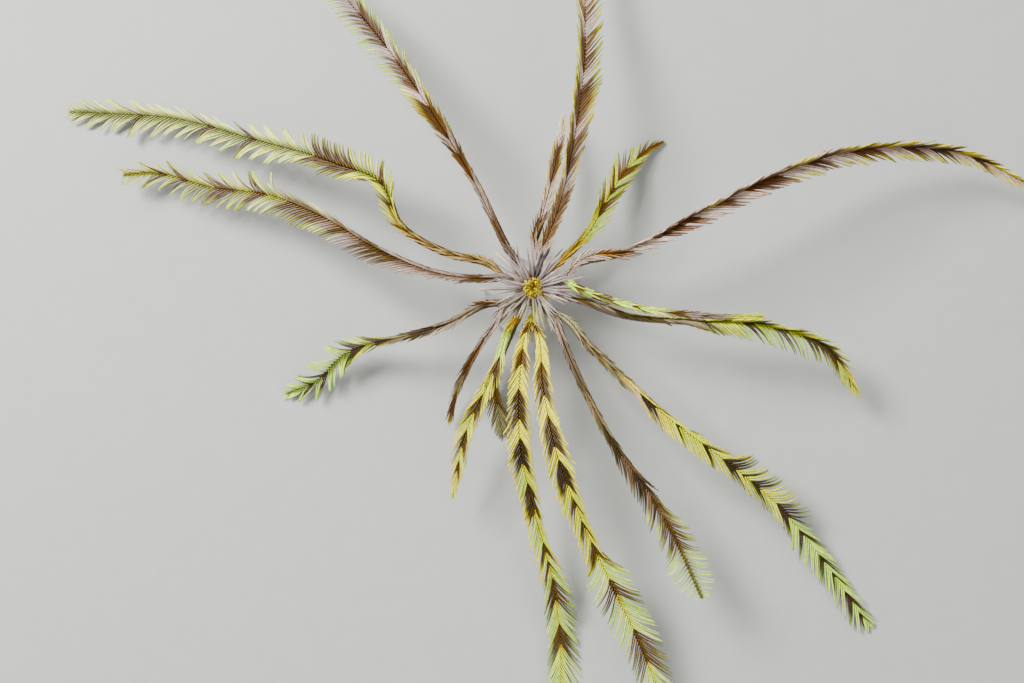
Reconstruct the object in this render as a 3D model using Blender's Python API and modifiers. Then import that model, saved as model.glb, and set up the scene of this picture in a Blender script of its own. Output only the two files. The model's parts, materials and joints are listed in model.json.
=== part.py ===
"""Indian feather star, Stephanometra indica: a life-size still model, its mouth side up.

Seventeen arms leave five rays round a small yellow disc. Under the disc is the centrodorsal, a
button that carries the cirri, the jointed legs on which the animal stands. Stiff oral pinnules
stand round the disc, and every arm has a row of pinnules along each side.

Metres, +Z up, the floor at z = 0. The origin is the middle of the footprint of the whole animal.
"""
import math
import random
from collections import namedtuple

import bmesh
import bpy
import numpy as np

MM = 0.001
GAP = 0.3 * MM
FLOOR = 0.0
SLIVERS = (0.15 * MM, 0.1 * MM, 0.05 * MM, 0.01 * MM)
FLAT_ANGLE = math.radians(0.5)

# The middle of the disc, seen from above
CALYX_X = -2.9 * MM
CALYX_Y = 12.29 * MM

# The button under the disc
BUTTON_LOW = 8.6 * MM
BUTTON_TOP = 11.2 * MM
BUTTON_RADIUS = 3.6 * MM
BUTTON_FOOT_RADIUS = 2.4 * MM

# The disc: a plug between the rays and a low dome over their inner ends
PLUG_RADIUS = 2.6 * MM
DISC_RADIUS = 3.9 * MM
DISC_EDGE = 14.7 * MM
DISC_TOP = 17.0 * MM
DISC_TURN_STEPS = 16

# The rays, from the disc out to where the arms start
RAY_INNER = 3.1
RAY_FORK = 5.9
RAY_HEIGHT = 12.9
SECOND_FORK = 8.9
SECOND_FORK_HEIGHT = 14.0
RAY_RADIUS = 1.4 * MM
LIMB_RADIUS = 1.25 * MM
RAY_BEARINGS = {"a": 70, "b": 5, "c": -68, "d": -138, "e": 149}

# The arms
ARM_START = 13.0 * MM
ARM_ROOT_RADIUS = 1.15 * MM
ARM_TIP_RADIUS = 0.5 * MM
ARM_STATION = 8.0 * MM
LENGTH_MOST = 55.0 * MM
LENGTH_WORDS = {1: ("",), 2: ("_inner", "_outer"), 3: ("_inner", "_middle", "_outer")}
CURVE_STEP = 0.5 * MM

# The pinnules: their length, root and bend radius and spacing along each side of an arm
PINNULE_LENGTH = 10.0 * MM
PINNULE_ROOT = 0.45 * MM
PINNULE_BEND = 0.36 * MM
PINNULE_SPACING = 4.45 * MM
PINNULE_END_ROOM = 1.2 * MM
PINNULE_SEED = 7

# The least angle between an arm and a pinnule, and how far the pinnules are lifted towards the mouth
# side: more where they lie close along the arm, and on two arms that are seen from the side
LEAST_SPREAD = 20
PINNULE_LIFT = ((8, 48), (25, 16))
MOUTHWARD = {"arm_04": 55, "arm_06": 58}

# The mean bend of each half of a pinnule, as a share of the way from its root angle to its tip angle
HALF_BENDS = (0.16, 0.68)

# Over this last length of an arm its pinnules shorten to this share
TIP_LENGTH = 7.0 * MM
TIP_SHARE = 0.35

# The stiff pinnules round the disc, on the roots of the arms
SPIKE_LENGTH = 10.5 * MM
SPIKE_ROOT = 0.55 * MM
SPIKE_BEND = 0.4 * MM
SPIKE_STOPS = (6.4, 8.4, 10.4, 12.3)

# The legs: two rings of cirri, each with root, arch and claw as (distance, height) in millimetres
CIRRI_PER_RING = 8
CIRRUS_STATIONS = 6
CIRRUS_ROOT_RADIUS = 0.6 * MM
CIRRUS_TIP_RADIUS = 0.4 * MM
UPPER_CIRRUS = ((3.7, 10.4), (7.0, 10.6), (11.0, 9.2), (14.2, 5.6), (15.4, 2.0), (14.6, 0.3))
LOWER_CIRRUS = ((3.3, 9.2), (5.6, 9.0), (8.2, 7.2), (10.2, 4.2), (10.7, 1.6), (9.9, 0.3))

# Where a pinnule would touch something, it is tried shorter (share) and lifted more (degrees)
TRIED_SIZES = (1.0, 0.85, 0.7, 0.5)
TRIED_LIFTS = (0, 15, -15, 30, -30, 50)
PINNULE_TRIES = tuple((size, extra) for size in TRIED_SIZES for extra in TRIED_LIFTS)

# How a stiff pinnule of the disc may be lifted, in the order that is tried
SPIKE_LIFTS = (50, 65, 80, 35, 95, 20, 110)

Arm = namedtuple("Arm", "name ray fork roll route")

# Each arm: its ray, the arms that share its second fork, the roll of its mouth side in degrees,
# and its route as (distance mm, bearing degrees, height mm)
ARMS = (
    Arm("arm_01", "a", "a1", 0, ((13, 88, 15), (20, 83, 16), (34, 80, 13), (45, 79.5, 9), (52, 79.5, 7))),
    Arm("arm_02", "a", "a1", 25, ((13, 76, 18), (26, 73.5, 24), (45, 75.5, 28), (65, 77.5, 24),
                                  (85, 80, 17), (101, 81, 12))),
    Arm("arm_03", "a", "a2", 0, ((13, 44, 15), (22, 44.5, 14), (35, 50.3, 9), (46, 51.7, 4),
                                 (53, 50.9, 2), (60, 48.4, 0.4))),
    Arm("arm_04", "b", "b1", 80, ((13, 27, 16), (27, 21, 23), (50, 23.5, 28), (74, 24.5, 27),
                                  (95, 23.5, 22), (116, 20.5, 17), (133, 17, 13), (149, 12, 10))),
    Arm("arm_05", "b", "b1", 0, ((12, 1, 18), (20, -9, 24), (34, -11.5, 28), (48, -10, 28),
                                 (66, -7.5, 25))),
    Arm("arm_06", "b", "b2", 70, ((13, -14, 14), (26, -17, 15), (46, -12.5, 17), (67, -9.5, 18),
                                  (87, -11.5, 14), (101, -18, 10))),
    Arm("arm_07", "c", "c1", 0, ((13, -43, 16), (22, -46, 19.5), (34, -45.5, 22), (55, -44, 21),
                                 (75, -42, 16), (97, -41.5, 9), (120, -43, 2.5), (144, -45, 0.4))),
    Arm("arm_08", "c", "c1", 0, ((13, -57, 16), (25, -63, 21), (49, -63, 24), (71, -60.5, 20),
                                 (85, -60.5, 17), (102, -61.5, 22))),
    Arm("arm_09", "c", "c2", 10, ((13, -84, 16), (28, -84, 23), (47, -82, 26), (69, -78, 21),
                                  (90, -75, 14), (112, -73, 9), (128, -72.5, 7))),
    Arm("arm_10", "c", "c2", -5, ((13, -99, 16), (24, -99, 21), (45, -95, 22), (66, -89.5, 15),
                                  (88, -86, 7), (108, -85.5, 0.8), (124, -86, 0.4))),
    Arm("arm_11", "d", "d1", 0, ((13, -121, 17), (25, -115, 20), (46, -115, 17), (66, -111, 12))),
    Arm("arm_12", "d", "d2", 0, ((13, -140, 15), (27, -131, 12), (39, -126, 6), (47, -122, 3))),
    Arm("arm_13", "d", "d2", 0, ((13, -160, 15), (26, -157, 19), (41, -159.5, 14), (53, -161.3, 9),
                                 (61, -160.1, 6), (70, -157, 3), (81, -157, 0.4))),
    Arm("arm_14", "e", "e1", 0, ((13, 168, 16), (26, 172, 20), (44, 167, 23), (64, 161.5, 19),
                                 (80, 160.5, 14), (101, 162.5, 8), (119, 163, 5), (127, 164.5, 7))),
    Arm("arm_15", "e", "e1", 0, ((13, 152, 16), (27, 158.5, 22), (42, 155, 25), (52, 146, 25),
                                 (67, 148, 21), (94, 152, 11), (119, 154.5, 4), (139, 157.5, 0.7),
                                 (150, 159, 0.4))),
    Arm("arm_16", "e", "e2", -15, ((13, 123, 17), (33, 119, 23), (58, 120, 26), (76, 121, 23),
                                   (91, 122, 19), (115, 124, 14))),
    Arm("arm_17", "d", "d1", 0, ((13, -117, 12), (22, -115, 8), (32, -110.5, 4), (38, -105.5, 2),
                                 (45, -101.5, 0.4))),
)

Lie = namedtuple("Lie", "distance left right left_tip right_tip size")

# How the pinnules lie, by distance in mm from the disc: degrees from the arm at their root and at
# their tip, on the left and on the right, and their length as a share of the longest
LIES = {
    "arm_01": (Lie(13, 8, 8, 10, 10, 0.5), Lie(40, 9, 8, 12, 10, 0.6), Lie(50, 18, 8, 40, 10, 0.5)),
    "arm_02": (Lie(13, 12, 16, 14, 18, 0.6), Lie(32, 10, 22, 10, 24, 0.8), Lie(50, 9, 29, 10, 30, 0.95),
               Lie(75, 13, 36, 20, 36, 0.95), Lie(101, 18, 34, 22, 30, 0.7)),
    "arm_03": (Lie(13, 8, 8, 8, 8, 0.5), Lie(22, 18, 20, 22, 24, 0.8), Lie(30, 20, 22, 26, 26, 0.85),
               Lie(42, 26, 22, 36, 28, 0.85), Lie(48, 20, 18, 32, 22, 0.6), Lie(60, 10, 10, 12, 12, 0.3)),
    "arm_04": (Lie(13, 16, 16, 16, 16, 0.5), Lie(30, 24, 24, 26, 26, 0.8), Lie(60, 30, 30, 34, 34, 0.95),
               Lie(110, 32, 32, 36, 36, 0.95), Lie(149, 24, 24, 24, 24, 0.6)),
    "arm_05": (Lie(12, 8, 8, 10, 10, 0.45), Lie(36, 9, 9, 12, 12, 0.5), Lie(55, 10, 8, 14, 8, 0.5),
               Lie(66, 16, 8, 20, 8, 0.5)),
    "arm_06": (Lie(13, 10, 10, 10, 10, 0.5), Lie(40, 12, 12, 14, 14, 0.6), Lie(50, 30, 30, 36, 36, 0.85),
               Lie(75, 40, 40, 40, 40, 1.0), Lie(92, 32, 32, 30, 30, 0.8), Lie(101, 16, 16, 16, 16, 0.5)),
    "arm_07": (Lie(13, 8, 8, 8, 8, 0.55), Lie(42, 8, 14, 10, 18, 0.7), Lie(52, 8, 30, 10, 34, 0.75),
               Lie(70, 12, 26, 20, 32, 0.8), Lie(76, 38, 22, 85, 30, 0.8), Lie(98, 38, 24, 80, 34, 0.75),
               Lie(104, 14, 36, 20, 46, 0.85), Lie(136, 16, 32, 22, 38, 0.85),
               Lie(144, 12, 20, 14, 24, 0.5)),
    "arm_08": (Lie(13, 7, 7, 8, 8, 0.5), Lie(45, 8, 12, 9, 14, 0.7), Lie(55, 8, 24, 10, 30, 0.8),
               Lie(68, 10, 32, 16, 44, 0.85), Lie(74, 26, 34, 60, 50, 0.8), Lie(84, 30, 36, 70, 60, 0.75),
               Lie(90, 42, 52, 80, 95, 0.75), Lie(102, 50, 56, 70, 80, 0.55)),
    "arm_09": (Lie(12, 16, 16, 18, 18, 0.55), Lie(25, 24, 24, 26, 26, 0.7), Lie(45, 28, 26, 30, 28, 0.8),
               Lie(60, 12, 28, 12, 30, 0.85), Lie(74, 14, 28, 16, 32, 0.9), Lie(82, 34, 30, 62, 80, 0.95),
               Lie(90, 38, 34, 55, 55, 0.95), Lie(105, 36, 36, 48, 44, 1.0),
               Lie(128, 30, 30, 34, 34, 0.8)),
    "arm_10": (Lie(12, 20, 20, 22, 22, 0.55), Lie(22, 30, 30, 32, 32, 0.65), Lie(45, 27, 30, 28, 34, 0.8),
               Lie(60, 14, 28, 12, 30, 0.85), Lie(74, 14, 24, 16, 28, 0.9), Lie(84, 24, 22, 42, 26, 0.95),
               Lie(105, 28, 26, 40, 30, 1.0), Lie(124, 30, 28, 40, 30, 0.9)),
    "arm_11": (Lie(12, 8, 8, 8, 8, 0.5), Lie(20, 16, 15, 20, 18, 0.7), Lie(50, 17, 15, 20, 18, 0.75),
               Lie(66, 8, 8, 8, 8, 0.4)),
    "arm_12": (Lie(12, 8, 8, 8, 8, 0.6), Lie(40, 9, 9, 9, 9, 0.7), Lie(47, 8, 8, 10, 10, 0.5)),
    "arm_13": (Lie(13, 8, 8, 8, 8, 0.55), Lie(40, 10, 8, 12, 8, 0.7), Lie(50, 24, 24, 34, 36, 0.75),
               Lie(60, 34, 34, 56, 75, 0.75), Lie(70, 30, 30, 44, 50, 0.7), Lie(81, 24, 24, 28, 28, 0.5)),
    "arm_14": (Lie(13, 8, 8, 10, 8, 0.5), Lie(28, 14, 7, 24, 7, 0.6), Lie(36, 32, 7, 50, 7, 0.75),
               Lie(60, 40, 9, 62, 10, 0.8), Lie(75, 36, 14, 60, 24, 0.8), Lie(79, 36, 36, 62, 95, 0.8),
               Lie(86, 34, 24, 62, 60, 0.8), Lie(100, 32, 14, 58, 24, 0.75),
               Lie(127, 30, 18, 40, 24, 0.6)),
    "arm_15": (Lie(13, 8, 8, 8, 8, 0.5), Lie(38, 10, 8, 14, 10, 0.6), Lie(46, 22, 12, 40, 20, 0.65),
               Lie(54, 28, 34, 50, 75, 0.7), Lie(72, 24, 40, 40, 85, 0.7), Lie(80, 24, 24, 50, 60, 0.75),
               Lie(95, 28, 16, 56, 26, 0.8), Lie(125, 30, 18, 52, 28, 0.8),
               Lie(150, 26, 22, 34, 28, 0.6)),
    "arm_16": (Lie(13, 7, 7, 8, 8, 0.5), Lie(35, 10, 10, 14, 12, 0.65), Lie(52, 16, 14, 30, 18, 0.8),
               Lie(65, 24, 16, 62, 24, 0.9), Lie(90, 26, 18, 75, 30, 0.9), Lie(115, 24, 18, 60, 24, 0.7)),
    "arm_17": (Lie(12, 8, 8, 8, 8, 0.6), Lie(36, 22, 22, 28, 28, 0.7), Lie(45, 24, 24, 28, 28, 0.5)),
}


def polar(distance, bearing, height):
    """A place, from its distance in mm and bearing round the disc and its height in mm."""
    turn = math.radians(bearing)
    return np.array([CALYX_X + distance * MM * math.cos(turn),
                     CALYX_Y + distance * MM * math.sin(turn),
                     height * MM])


def unit(vector):
    return vector / np.linalg.norm(vector)


def smooth_curve(points):
    """Even samples, CURVE_STEP apart, of a smooth curve through the points."""
    points = np.array(points)
    chords = np.linalg.norm(np.diff(points, axis=0), axis=1)
    at = np.concatenate([[0.0], np.cumsum(chords)])
    slopes = np.gradient(points, at, axis=0)
    fine = []
    for k, chord in enumerate(chords):
        for t in np.linspace(0.0, 1.0, 40, endpoint=False):
            fine.append((2 * t**3 - 3 * t**2 + 1) * points[k] + (t**3 - 2 * t**2 + t) * chord * slopes[k]
                        + (3 * t**2 - 2 * t**3) * points[k + 1] + (t**3 - t**2) * chord * slopes[k + 1])
    fine = np.array(fine + [points[-1]])
    run = np.concatenate([[0.0], np.cumsum(np.linalg.norm(np.diff(fine, axis=0), axis=1))])
    even = np.linspace(0.0, run[-1], max(2, round(run[-1] / CURVE_STEP)))
    return np.column_stack([np.interp(even, run, fine[:, axis]) for axis in range(3)])


class Route:
    """The axis of an arm, from the fork of its ray to its tip, with the frame of its pinnules."""

    def __init__(self, arm):
        self.arm = arm
        bearing = RAY_BEARINGS[arm.ray]
        pair = [other.route[0][1] for other in ARMS if other.fork == arm.fork]
        self.second = sum(pair) / len(pair)
        places = [polar(RAY_INNER, bearing, RAY_HEIGHT), polar(RAY_FORK, bearing, RAY_HEIGHT),
                  polar(SECOND_FORK, self.second, SECOND_FORK_HEIGHT)]
        places += [polar(*stop) for stop in arm.route]
        self.places = smooth_curve(places)
        self.run = np.concatenate([[0.0], np.cumsum(np.linalg.norm(np.diff(self.places, axis=0), axis=1))])
        self.length = self.run[-1]
        self.start = self.run_at(ARM_START)
        self.reach = self.length - self.start

    def run_at(self, distance):
        """The run along the axis where it first is this far from the middle of the disc."""
        away = np.hypot(self.places[:, 0] - CALYX_X, self.places[:, 1] - CALYX_Y)
        return self.run[np.argmax(away >= distance)]

    def place(self, run):
        return np.array([np.interp(run, self.run, self.places[:, axis]) for axis in range(3)])

    def frame(self, run):
        """The direction of the arm, of its mouth side and of its left-to-right side."""
        along = unit(self.place(min(run + MM, self.length)) - self.place(max(run - MM, 0.0)))
        up = unit(np.array([0.0, 0.0, 1.0]) - along[2] * along)
        right = np.cross(along, up)
        roll = math.radians(self.arm.roll) * min(1.0, max(0.0, (run - self.start) / (12 * MM)))
        mouth = math.cos(roll) * up + math.sin(roll) * right
        side = math.cos(roll) * right - math.sin(roll) * up
        return along, mouth, side

    def radius(self, run):
        share = np.clip((run - self.start) / self.reach, 0.0, 1.0)
        return ARM_ROOT_RADIUS + (ARM_TIP_RADIUS - ARM_ROOT_RADIUS) * share**1.2


def paint(thing, colour, roughness):
    """Give an object its own Principled material."""
    finish = bpy.data.materials.new(thing.name)
    finish.use_nodes = True
    shader = finish.node_tree.nodes["Principled BSDF"]
    shader.inputs["Base Color"].default_value = (*colour, 1.0)
    shader.inputs["Roughness"].default_value = roughness
    shader.inputs["Metallic"].default_value = 0.0
    finish.diffuse_color = (*colour, 1.0)
    thing.data.materials.clear()
    thing.data.materials.append(finish)


def face_outward(shape):
    bmesh.ops.recalc_face_normals(shape, faces=shape.faces)
    if shape.calc_volume(signed=True) < 0:
        bmesh.ops.reverse_faces(shape, faces=shape.faces)


def to_mesh(thing, name, folder):
    """Turn an object's evaluated shape into a welded mesh object and remove the object."""
    mesh = bpy.data.meshes.new_from_object(thing.evaluated_get(bpy.context.evaluated_depsgraph_get()))
    shape = bmesh.new()
    shape.from_mesh(mesh)
    shape.transform(thing.matrix_world)
    bmesh.ops.remove_doubles(shape, verts=shape.verts, dist=0.01 * MM)
    for vert in shape.verts:
        vert.co.z = max(vert.co.z, FLOOR)
    bmesh.ops.dissolve_degenerate(shape, edges=shape.edges, dist=0.01 * MM)
    bmesh.ops.triangulate(shape, faces=shape.faces)
    face_outward(shape)
    shape.to_mesh(mesh)
    shape.free()
    bpy.data.objects.remove(thing)
    made = bpy.data.objects.new(name, mesh)
    folder.objects.link(made)
    return made


def tube(name, places, radii, folder):
    """A six-sided tapering tube along the places."""
    curve = bpy.data.curves.new(name, "CURVE")
    curve.dimensions = "3D"
    curve.twist_mode = "MINIMUM"
    curve.bevel_depth = 1.0
    curve.bevel_resolution = 1
    curve.use_fill_caps = True
    spline = curve.splines.new("POLY")
    spline.points.add(len(places) - 1)
    for point, place, radius in zip(spline.points, places, radii):
        point.co = (*place, 1.0)
        point.radius = radius
    thing = bpy.data.objects.new(name + "_route", curve)
    folder.objects.link(thing)
    bpy.context.view_layer.update()
    return to_mesh(thing, name, folder)


def lie_at(route, run):
    """How the pinnules lie at a run of an arm, between the stops of its table."""
    stops = np.array(LIES[route.arm.name])
    away = math.dist(route.place(run)[:2], (CALYX_X, CALYX_Y)) / MM
    return Lie(*(np.interp(away, stops[:, 0], stops[:, k]) for k in range(len(Lie._fields))))


def swing(route, run, side_sign, spread, lift):
    """A direction that leaves the arm at an angle spread, towards one side and lifted to its mouth."""
    along, mouth, side = route.frame(run)
    out = math.cos(lift) * side_sign * side + math.sin(lift) * mouth
    return math.cos(spread) * along + math.sin(spread) * out


def bent(route, run, side_sign, length, spreads, lift):
    """The root, bend and tip of a pinnule that starts inside the arm and curves towards its tip."""
    out = swing(route, run, side_sign, math.pi / 2, lift)
    root = route.place(run) + 0.4 * route.radius(run) * out
    bend = root + 0.5 * length * swing(route, run, side_sign, spreads[0], lift)
    return np.array([root, bend, bend + 0.5 * length * swing(route, run, side_sign, spreads[1], lift)])


def spike_mesh(name, places, radii, folder):
    """A three-sided pointed form: a ring at its root, a ring at its bend and a tip."""
    shape = bmesh.new()
    first = unit(places[1] - places[0])
    across = unit(np.cross(first, np.array([0.3, 0.5, 0.8])))
    over = np.cross(first, across)
    rings = []
    for place, radius in zip(places, radii):
        ring = []
        for turn in (0, 2 * math.pi / 3, 4 * math.pi / 3):
            ring.append(shape.verts.new(place + radius * (math.cos(turn) * across + math.sin(turn) * over)))
        rings.append(ring)
    tip = shape.verts.new(places[-1])
    shape.faces.new(rings[0])
    for k in range(3):
        low, high = (rings[0][k], rings[0][k - 2]), (rings[1][k], rings[1][k - 2])
        shape.faces.new((low[0], low[1], high[1]))
        shape.faces.new((low[0], high[1], high[0]))
        shape.faces.new((high[0], high[1], tip))
    face_outward(shape)
    mesh = bpy.data.meshes.new(name)
    shape.to_mesh(mesh)
    shape.free()
    made = bpy.data.objects.new(name, mesh)
    folder.objects.link(made)
    return made


def nearest_between(p, q, a, b):
    """Distance from the segment p-q to each of the segments a-b."""
    u, v, w = q - p, b - a, p - a
    uu, vv = max(u @ u, 1e-16), np.maximum(np.einsum("ij,ij->i", v, v), 1e-16)
    uv, uw, vw = v @ u, w @ u, np.einsum("ij,ij->i", v, w)
    slack = np.maximum(uu * vv - uv**2, 1e-20)
    s = np.clip((uv * vw - vv * uw) / slack, 0, 1)
    t = np.clip((uv * s + vw) / vv, 0, 1)
    s = np.clip((uv * t - uw) / uu, 0, 1)
    return np.linalg.norm(w + s[:, None] * u - t[:, None] * v, axis=1)


class Crowd:
    """Everything placed so far, as round-ended rods, so that what comes next keeps clear of it."""

    def __init__(self):
        self.rods = []
        self.stack = None

    def add(self, owner, places, radii):
        for k in range(len(places) - 1):
            self.rods.append((owner, places[k], places[k + 1], max(radii[k], radii[k + 1])))
        self.stack = None

    def is_free(self, owner, places, radii, skip):
        """Whether a bent rod clears the floor and every placed rod but those of the skipped owners."""
        if self.stack is None:
            self.stack = (np.array([rod[0] for rod in self.rods]), np.array([rod[1] for rod in self.rods]),
                          np.array([rod[2] for rod in self.rods]), np.array([rod[3] for rod in self.rods]))
        owners, starts, ends, thick = self.stack
        if np.any(places[1:, 2] - np.array(radii[1:]) < FLOOR + GAP):
            return False
        gap = np.where(owners == owner, GAP / 2, GAP)
        gap = np.where(np.isin(owners, skip), -1.0, gap)
        for k in range(len(places) - 1):
            apart = nearest_between(places[k], places[k + 1], starts, ends)
            if np.any(apart < thick + max(radii[k], radii[k + 1]) + gap):
                return False
        return True


def join(body, pieces, folder):
    """Fuse closed pieces to a body in one union and keep the largest closed surface."""
    gathered = bpy.data.collections.new(body.name + "_pieces")
    bpy.context.scene.collection.children.link(gathered)
    for piece in pieces:
        folder.objects.unlink(piece)
        gathered.objects.link(piece)
    union = body.modifiers.new("union", "BOOLEAN")
    union.operation = "UNION"
    union.operand_type = "COLLECTION"
    union.collection = gathered
    union.solver = "MANIFOLD"
    bpy.context.view_layer.update()
    fused = bpy.data.meshes.new_from_object(body.evaluated_get(bpy.context.evaluated_depsgraph_get()))
    body.modifiers.clear()
    for piece in pieces:
        bpy.data.objects.remove(piece)
    bpy.data.collections.remove(gathered)
    tidy_union(fused)
    body.data = fused


def tidy_union(mesh):
    """Collapse the sliver edges that a union leaves, and keep only the largest closed surface."""
    for sliver in SLIVERS:
        shape = bmesh.new()
        shape.from_mesh(mesh)
        bmesh.ops.dissolve_limit(shape, angle_limit=FLAT_ANGLE, verts=shape.verts, edges=shape.edges)
        bmesh.ops.triangulate(shape, faces=shape.faces)
        bmesh.ops.dissolve_degenerate(shape, edges=shape.edges, dist=sliver)
        bmesh.ops.triangulate(shape, faces=shape.faces)
        keep_largest(shape)
        closed = all(edge.is_manifold for edge in shape.edges)
        closed = closed and all(vert.is_manifold for vert in shape.verts)
        if closed:
            shape.to_mesh(mesh)
        shape.free()
        if closed:
            return


def keep_largest(shape):
    """Delete every closed surface but the one with the most points."""
    left = set(shape.verts)
    islands = []
    while left:
        island, edge = set(), [left.pop()]
        while edge:
            vert = edge.pop()
            island.add(vert)
            near = {link.other_vert(vert) for link in vert.link_edges} & left
            left -= near
            edge.extend(near)
        islands.append(island)
    islands.sort(key=len)
    for island in islands[:-1]:
        bmesh.ops.delete(shape, geom=list(island), context="VERTS")


def turned(name, profile, steps, folder):
    """A closed turned shape from its (radius, height) profile, listed from top to bottom."""
    mesh = bpy.data.meshes.new(name)
    mesh.from_pydata([(radius, 0.0, height) for radius, height in profile],
                     [(k, k + 1) for k in range(len(profile) - 1)], [])
    thing = bpy.data.objects.new(name + "_profile", mesh)
    thing.location = (CALYX_X, CALYX_Y, 0.0)
    folder.objects.link(thing)
    screw = thing.modifiers.new("turn", "SCREW")
    screw.steps = steps
    screw.render_steps = steps
    screw.use_merge_vertices = True
    screw.merge_threshold = 0.00001
    bpy.context.view_layer.update()
    return to_mesh(thing, name, folder)


def make_button(folder):
    """The centrodorsal: a low button with a domed foot."""
    profile = ((0.0, BUTTON_TOP), (BUTTON_RADIUS * 0.9, BUTTON_TOP), (BUTTON_RADIUS, BUTTON_TOP - 0.4 * MM),
               (BUTTON_RADIUS * 0.88, BUTTON_LOW + 0.9 * MM), (BUTTON_FOOT_RADIUS, BUTTON_LOW + 0.2 * MM),
               (0.0, BUTTON_LOW))
    thing = turned("centrodorsal", profile, 16, folder)
    paint(thing, (0.30, 0.20, 0.15), 0.6)


def make_disc(folder):
    """The disc: a dome with a sunk mouth over the rays, and the plug between their inner ends."""
    profile = ((0.0, DISC_TOP - 0.7 * MM), (0.6 * MM, DISC_TOP - 0.5 * MM), (1.2 * MM, DISC_TOP),
               (2.4 * MM, DISC_TOP - 0.3 * MM), (DISC_RADIUS - 0.5 * MM, DISC_EDGE + 1.3 * MM),
               (DISC_RADIUS, DISC_EDGE + 0.3 * MM), (DISC_RADIUS - 0.4 * MM, DISC_EDGE),
               (PLUG_RADIUS, DISC_EDGE), (PLUG_RADIUS, BUTTON_TOP + GAP), (0.0, BUTTON_TOP + GAP))
    thing = turned("disc", profile, DISC_TURN_STEPS, folder)
    paint(thing, (0.58, 0.43, 0.06), 0.5)


def ray_pieces(ray, routes):
    """The trunk, limbs and arm roots of a ray, each as (places, radii)."""
    members = [route for route in routes if route.arm.ray == ray]
    bearing = RAY_BEARINGS[ray]
    fork = polar(RAY_FORK, bearing, RAY_HEIGHT)
    past = polar(RAY_FORK + 0.8, bearing, RAY_HEIGHT)
    pieces = [([polar(RAY_INNER, bearing, RAY_HEIGHT), past], (RAY_RADIUS, RAY_RADIUS))]
    for name in sorted({route.arm.fork for route in members}):
        limb = [route for route in members if route.arm.fork == name]
        second = polar(SECOND_FORK, limb[0].second, SECOND_FORK_HEIGHT)
        pieces.append(([fork, second + 0.5 * MM * unit(second - fork)], (RAY_RADIUS * 0.95, LIMB_RADIUS)))
        for route in limb:
            runs = np.linspace(route.run_at(SECOND_FORK * MM), route.start, 3)
            thick = np.linspace(LIMB_RADIUS * 0.97, ARM_ROOT_RADIUS, len(runs))
            pieces.append(([route.place(run) for run in runs], thick))
    return pieces


def make_ray(ray, routes, crowd, folder):
    """A ray: its trunk, its limbs and the root of each of its arms, with their stiff pinnules."""
    name = "ray_" + ray
    made = [tube("branch", places, radii, folder) for places, radii in ray_pieces(ray, routes)]
    rand = random.Random(PINNULE_SEED + ord(ray))
    radii = (SPIKE_ROOT, SPIKE_BEND, 0.0)
    for route in (route for route in routes if route.arm.ray == ray):
        for stop in SPIKE_STOPS:
            for side_sign in (-1, 1):
                run = route.run_at(stop * MM)
                size = SPIKE_LENGTH * rand.uniform(0.8, 1.15)
                spreads = (math.radians(rand.uniform(24, 32)), math.radians(rand.uniform(10, 18)))
                for lift in SPIKE_LIFTS:
                    places = bent(route, run, side_sign, size, spreads, math.radians(lift))
                    if crowd.is_free(name + "_spikes", places, radii, (name, name + "_roots")):
                        break
                else:
                    continue
                crowd.add(name + "_roots", places[:2], (SPIKE_ROOT, SPIKE_BEND))
                crowd.add(name + "_spikes", places[1:], (SPIKE_BEND, 0.0))
                made.append(spike_mesh("spike", places, (SPIKE_ROOT, SPIKE_BEND), folder))
    body = made[0]
    body.name = name
    join(body, made[1:], folder)
    paint(body, (0.62, 0.50, 0.52), 0.5)


def make_cirri(crowd, folder):
    """The legs: two staggered rings of curved cirri with their claws on the floor."""
    for ring, (outline, offset) in enumerate(((UPPER_CIRRUS, 0.0), (LOWER_CIRRUS, 0.5))):
        for k in range(CIRRI_PER_RING):
            bearing = 360.0 * (k + offset) / CIRRI_PER_RING
            curve = smooth_curve([polar(distance, bearing, height) for distance, height in outline])
            picks = np.linspace(0, len(curve) - 1, CIRRUS_STATIONS).round().astype(int)
            thick = np.linspace(CIRRUS_ROOT_RADIUS, CIRRUS_TIP_RADIUS, len(picks))
            name = f"cirrus_{ring * CIRRI_PER_RING + k + 1:02d}"
            crowd.add(name, curve[picks], thick)
            thing = tube(name, curve[picks], thick, folder)
            paint(thing, (0.42, 0.28, 0.16), 0.55)


def arm_lengths(route):
    """The lengths in which an arm is made, up to three, with a gap between their faces."""
    words = LENGTH_WORDS[max(1, math.ceil(route.reach / LENGTH_MOST))]
    cuts = np.linspace(route.start + GAP / 2, route.length + GAP / 2, len(words) + 1)
    return [(route.arm.name + word, low + GAP / 2, high - GAP / 2)
            for word, low, high in zip(words, cuts, cuts[1:])]


def arm_tube(route, start, end):
    """The places and radii of a length of an arm, with close stations where it leaves its ray."""
    runs = np.linspace(start, end, max(3, round((end - start) / ARM_STATION) + 1))
    if start < route.start + 2 * GAP:
        runs = np.insert(runs, 1, start + ARM_STATION / 4)
    return [route.place(run) for run in runs], [route.radius(run) for run in runs]


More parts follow.
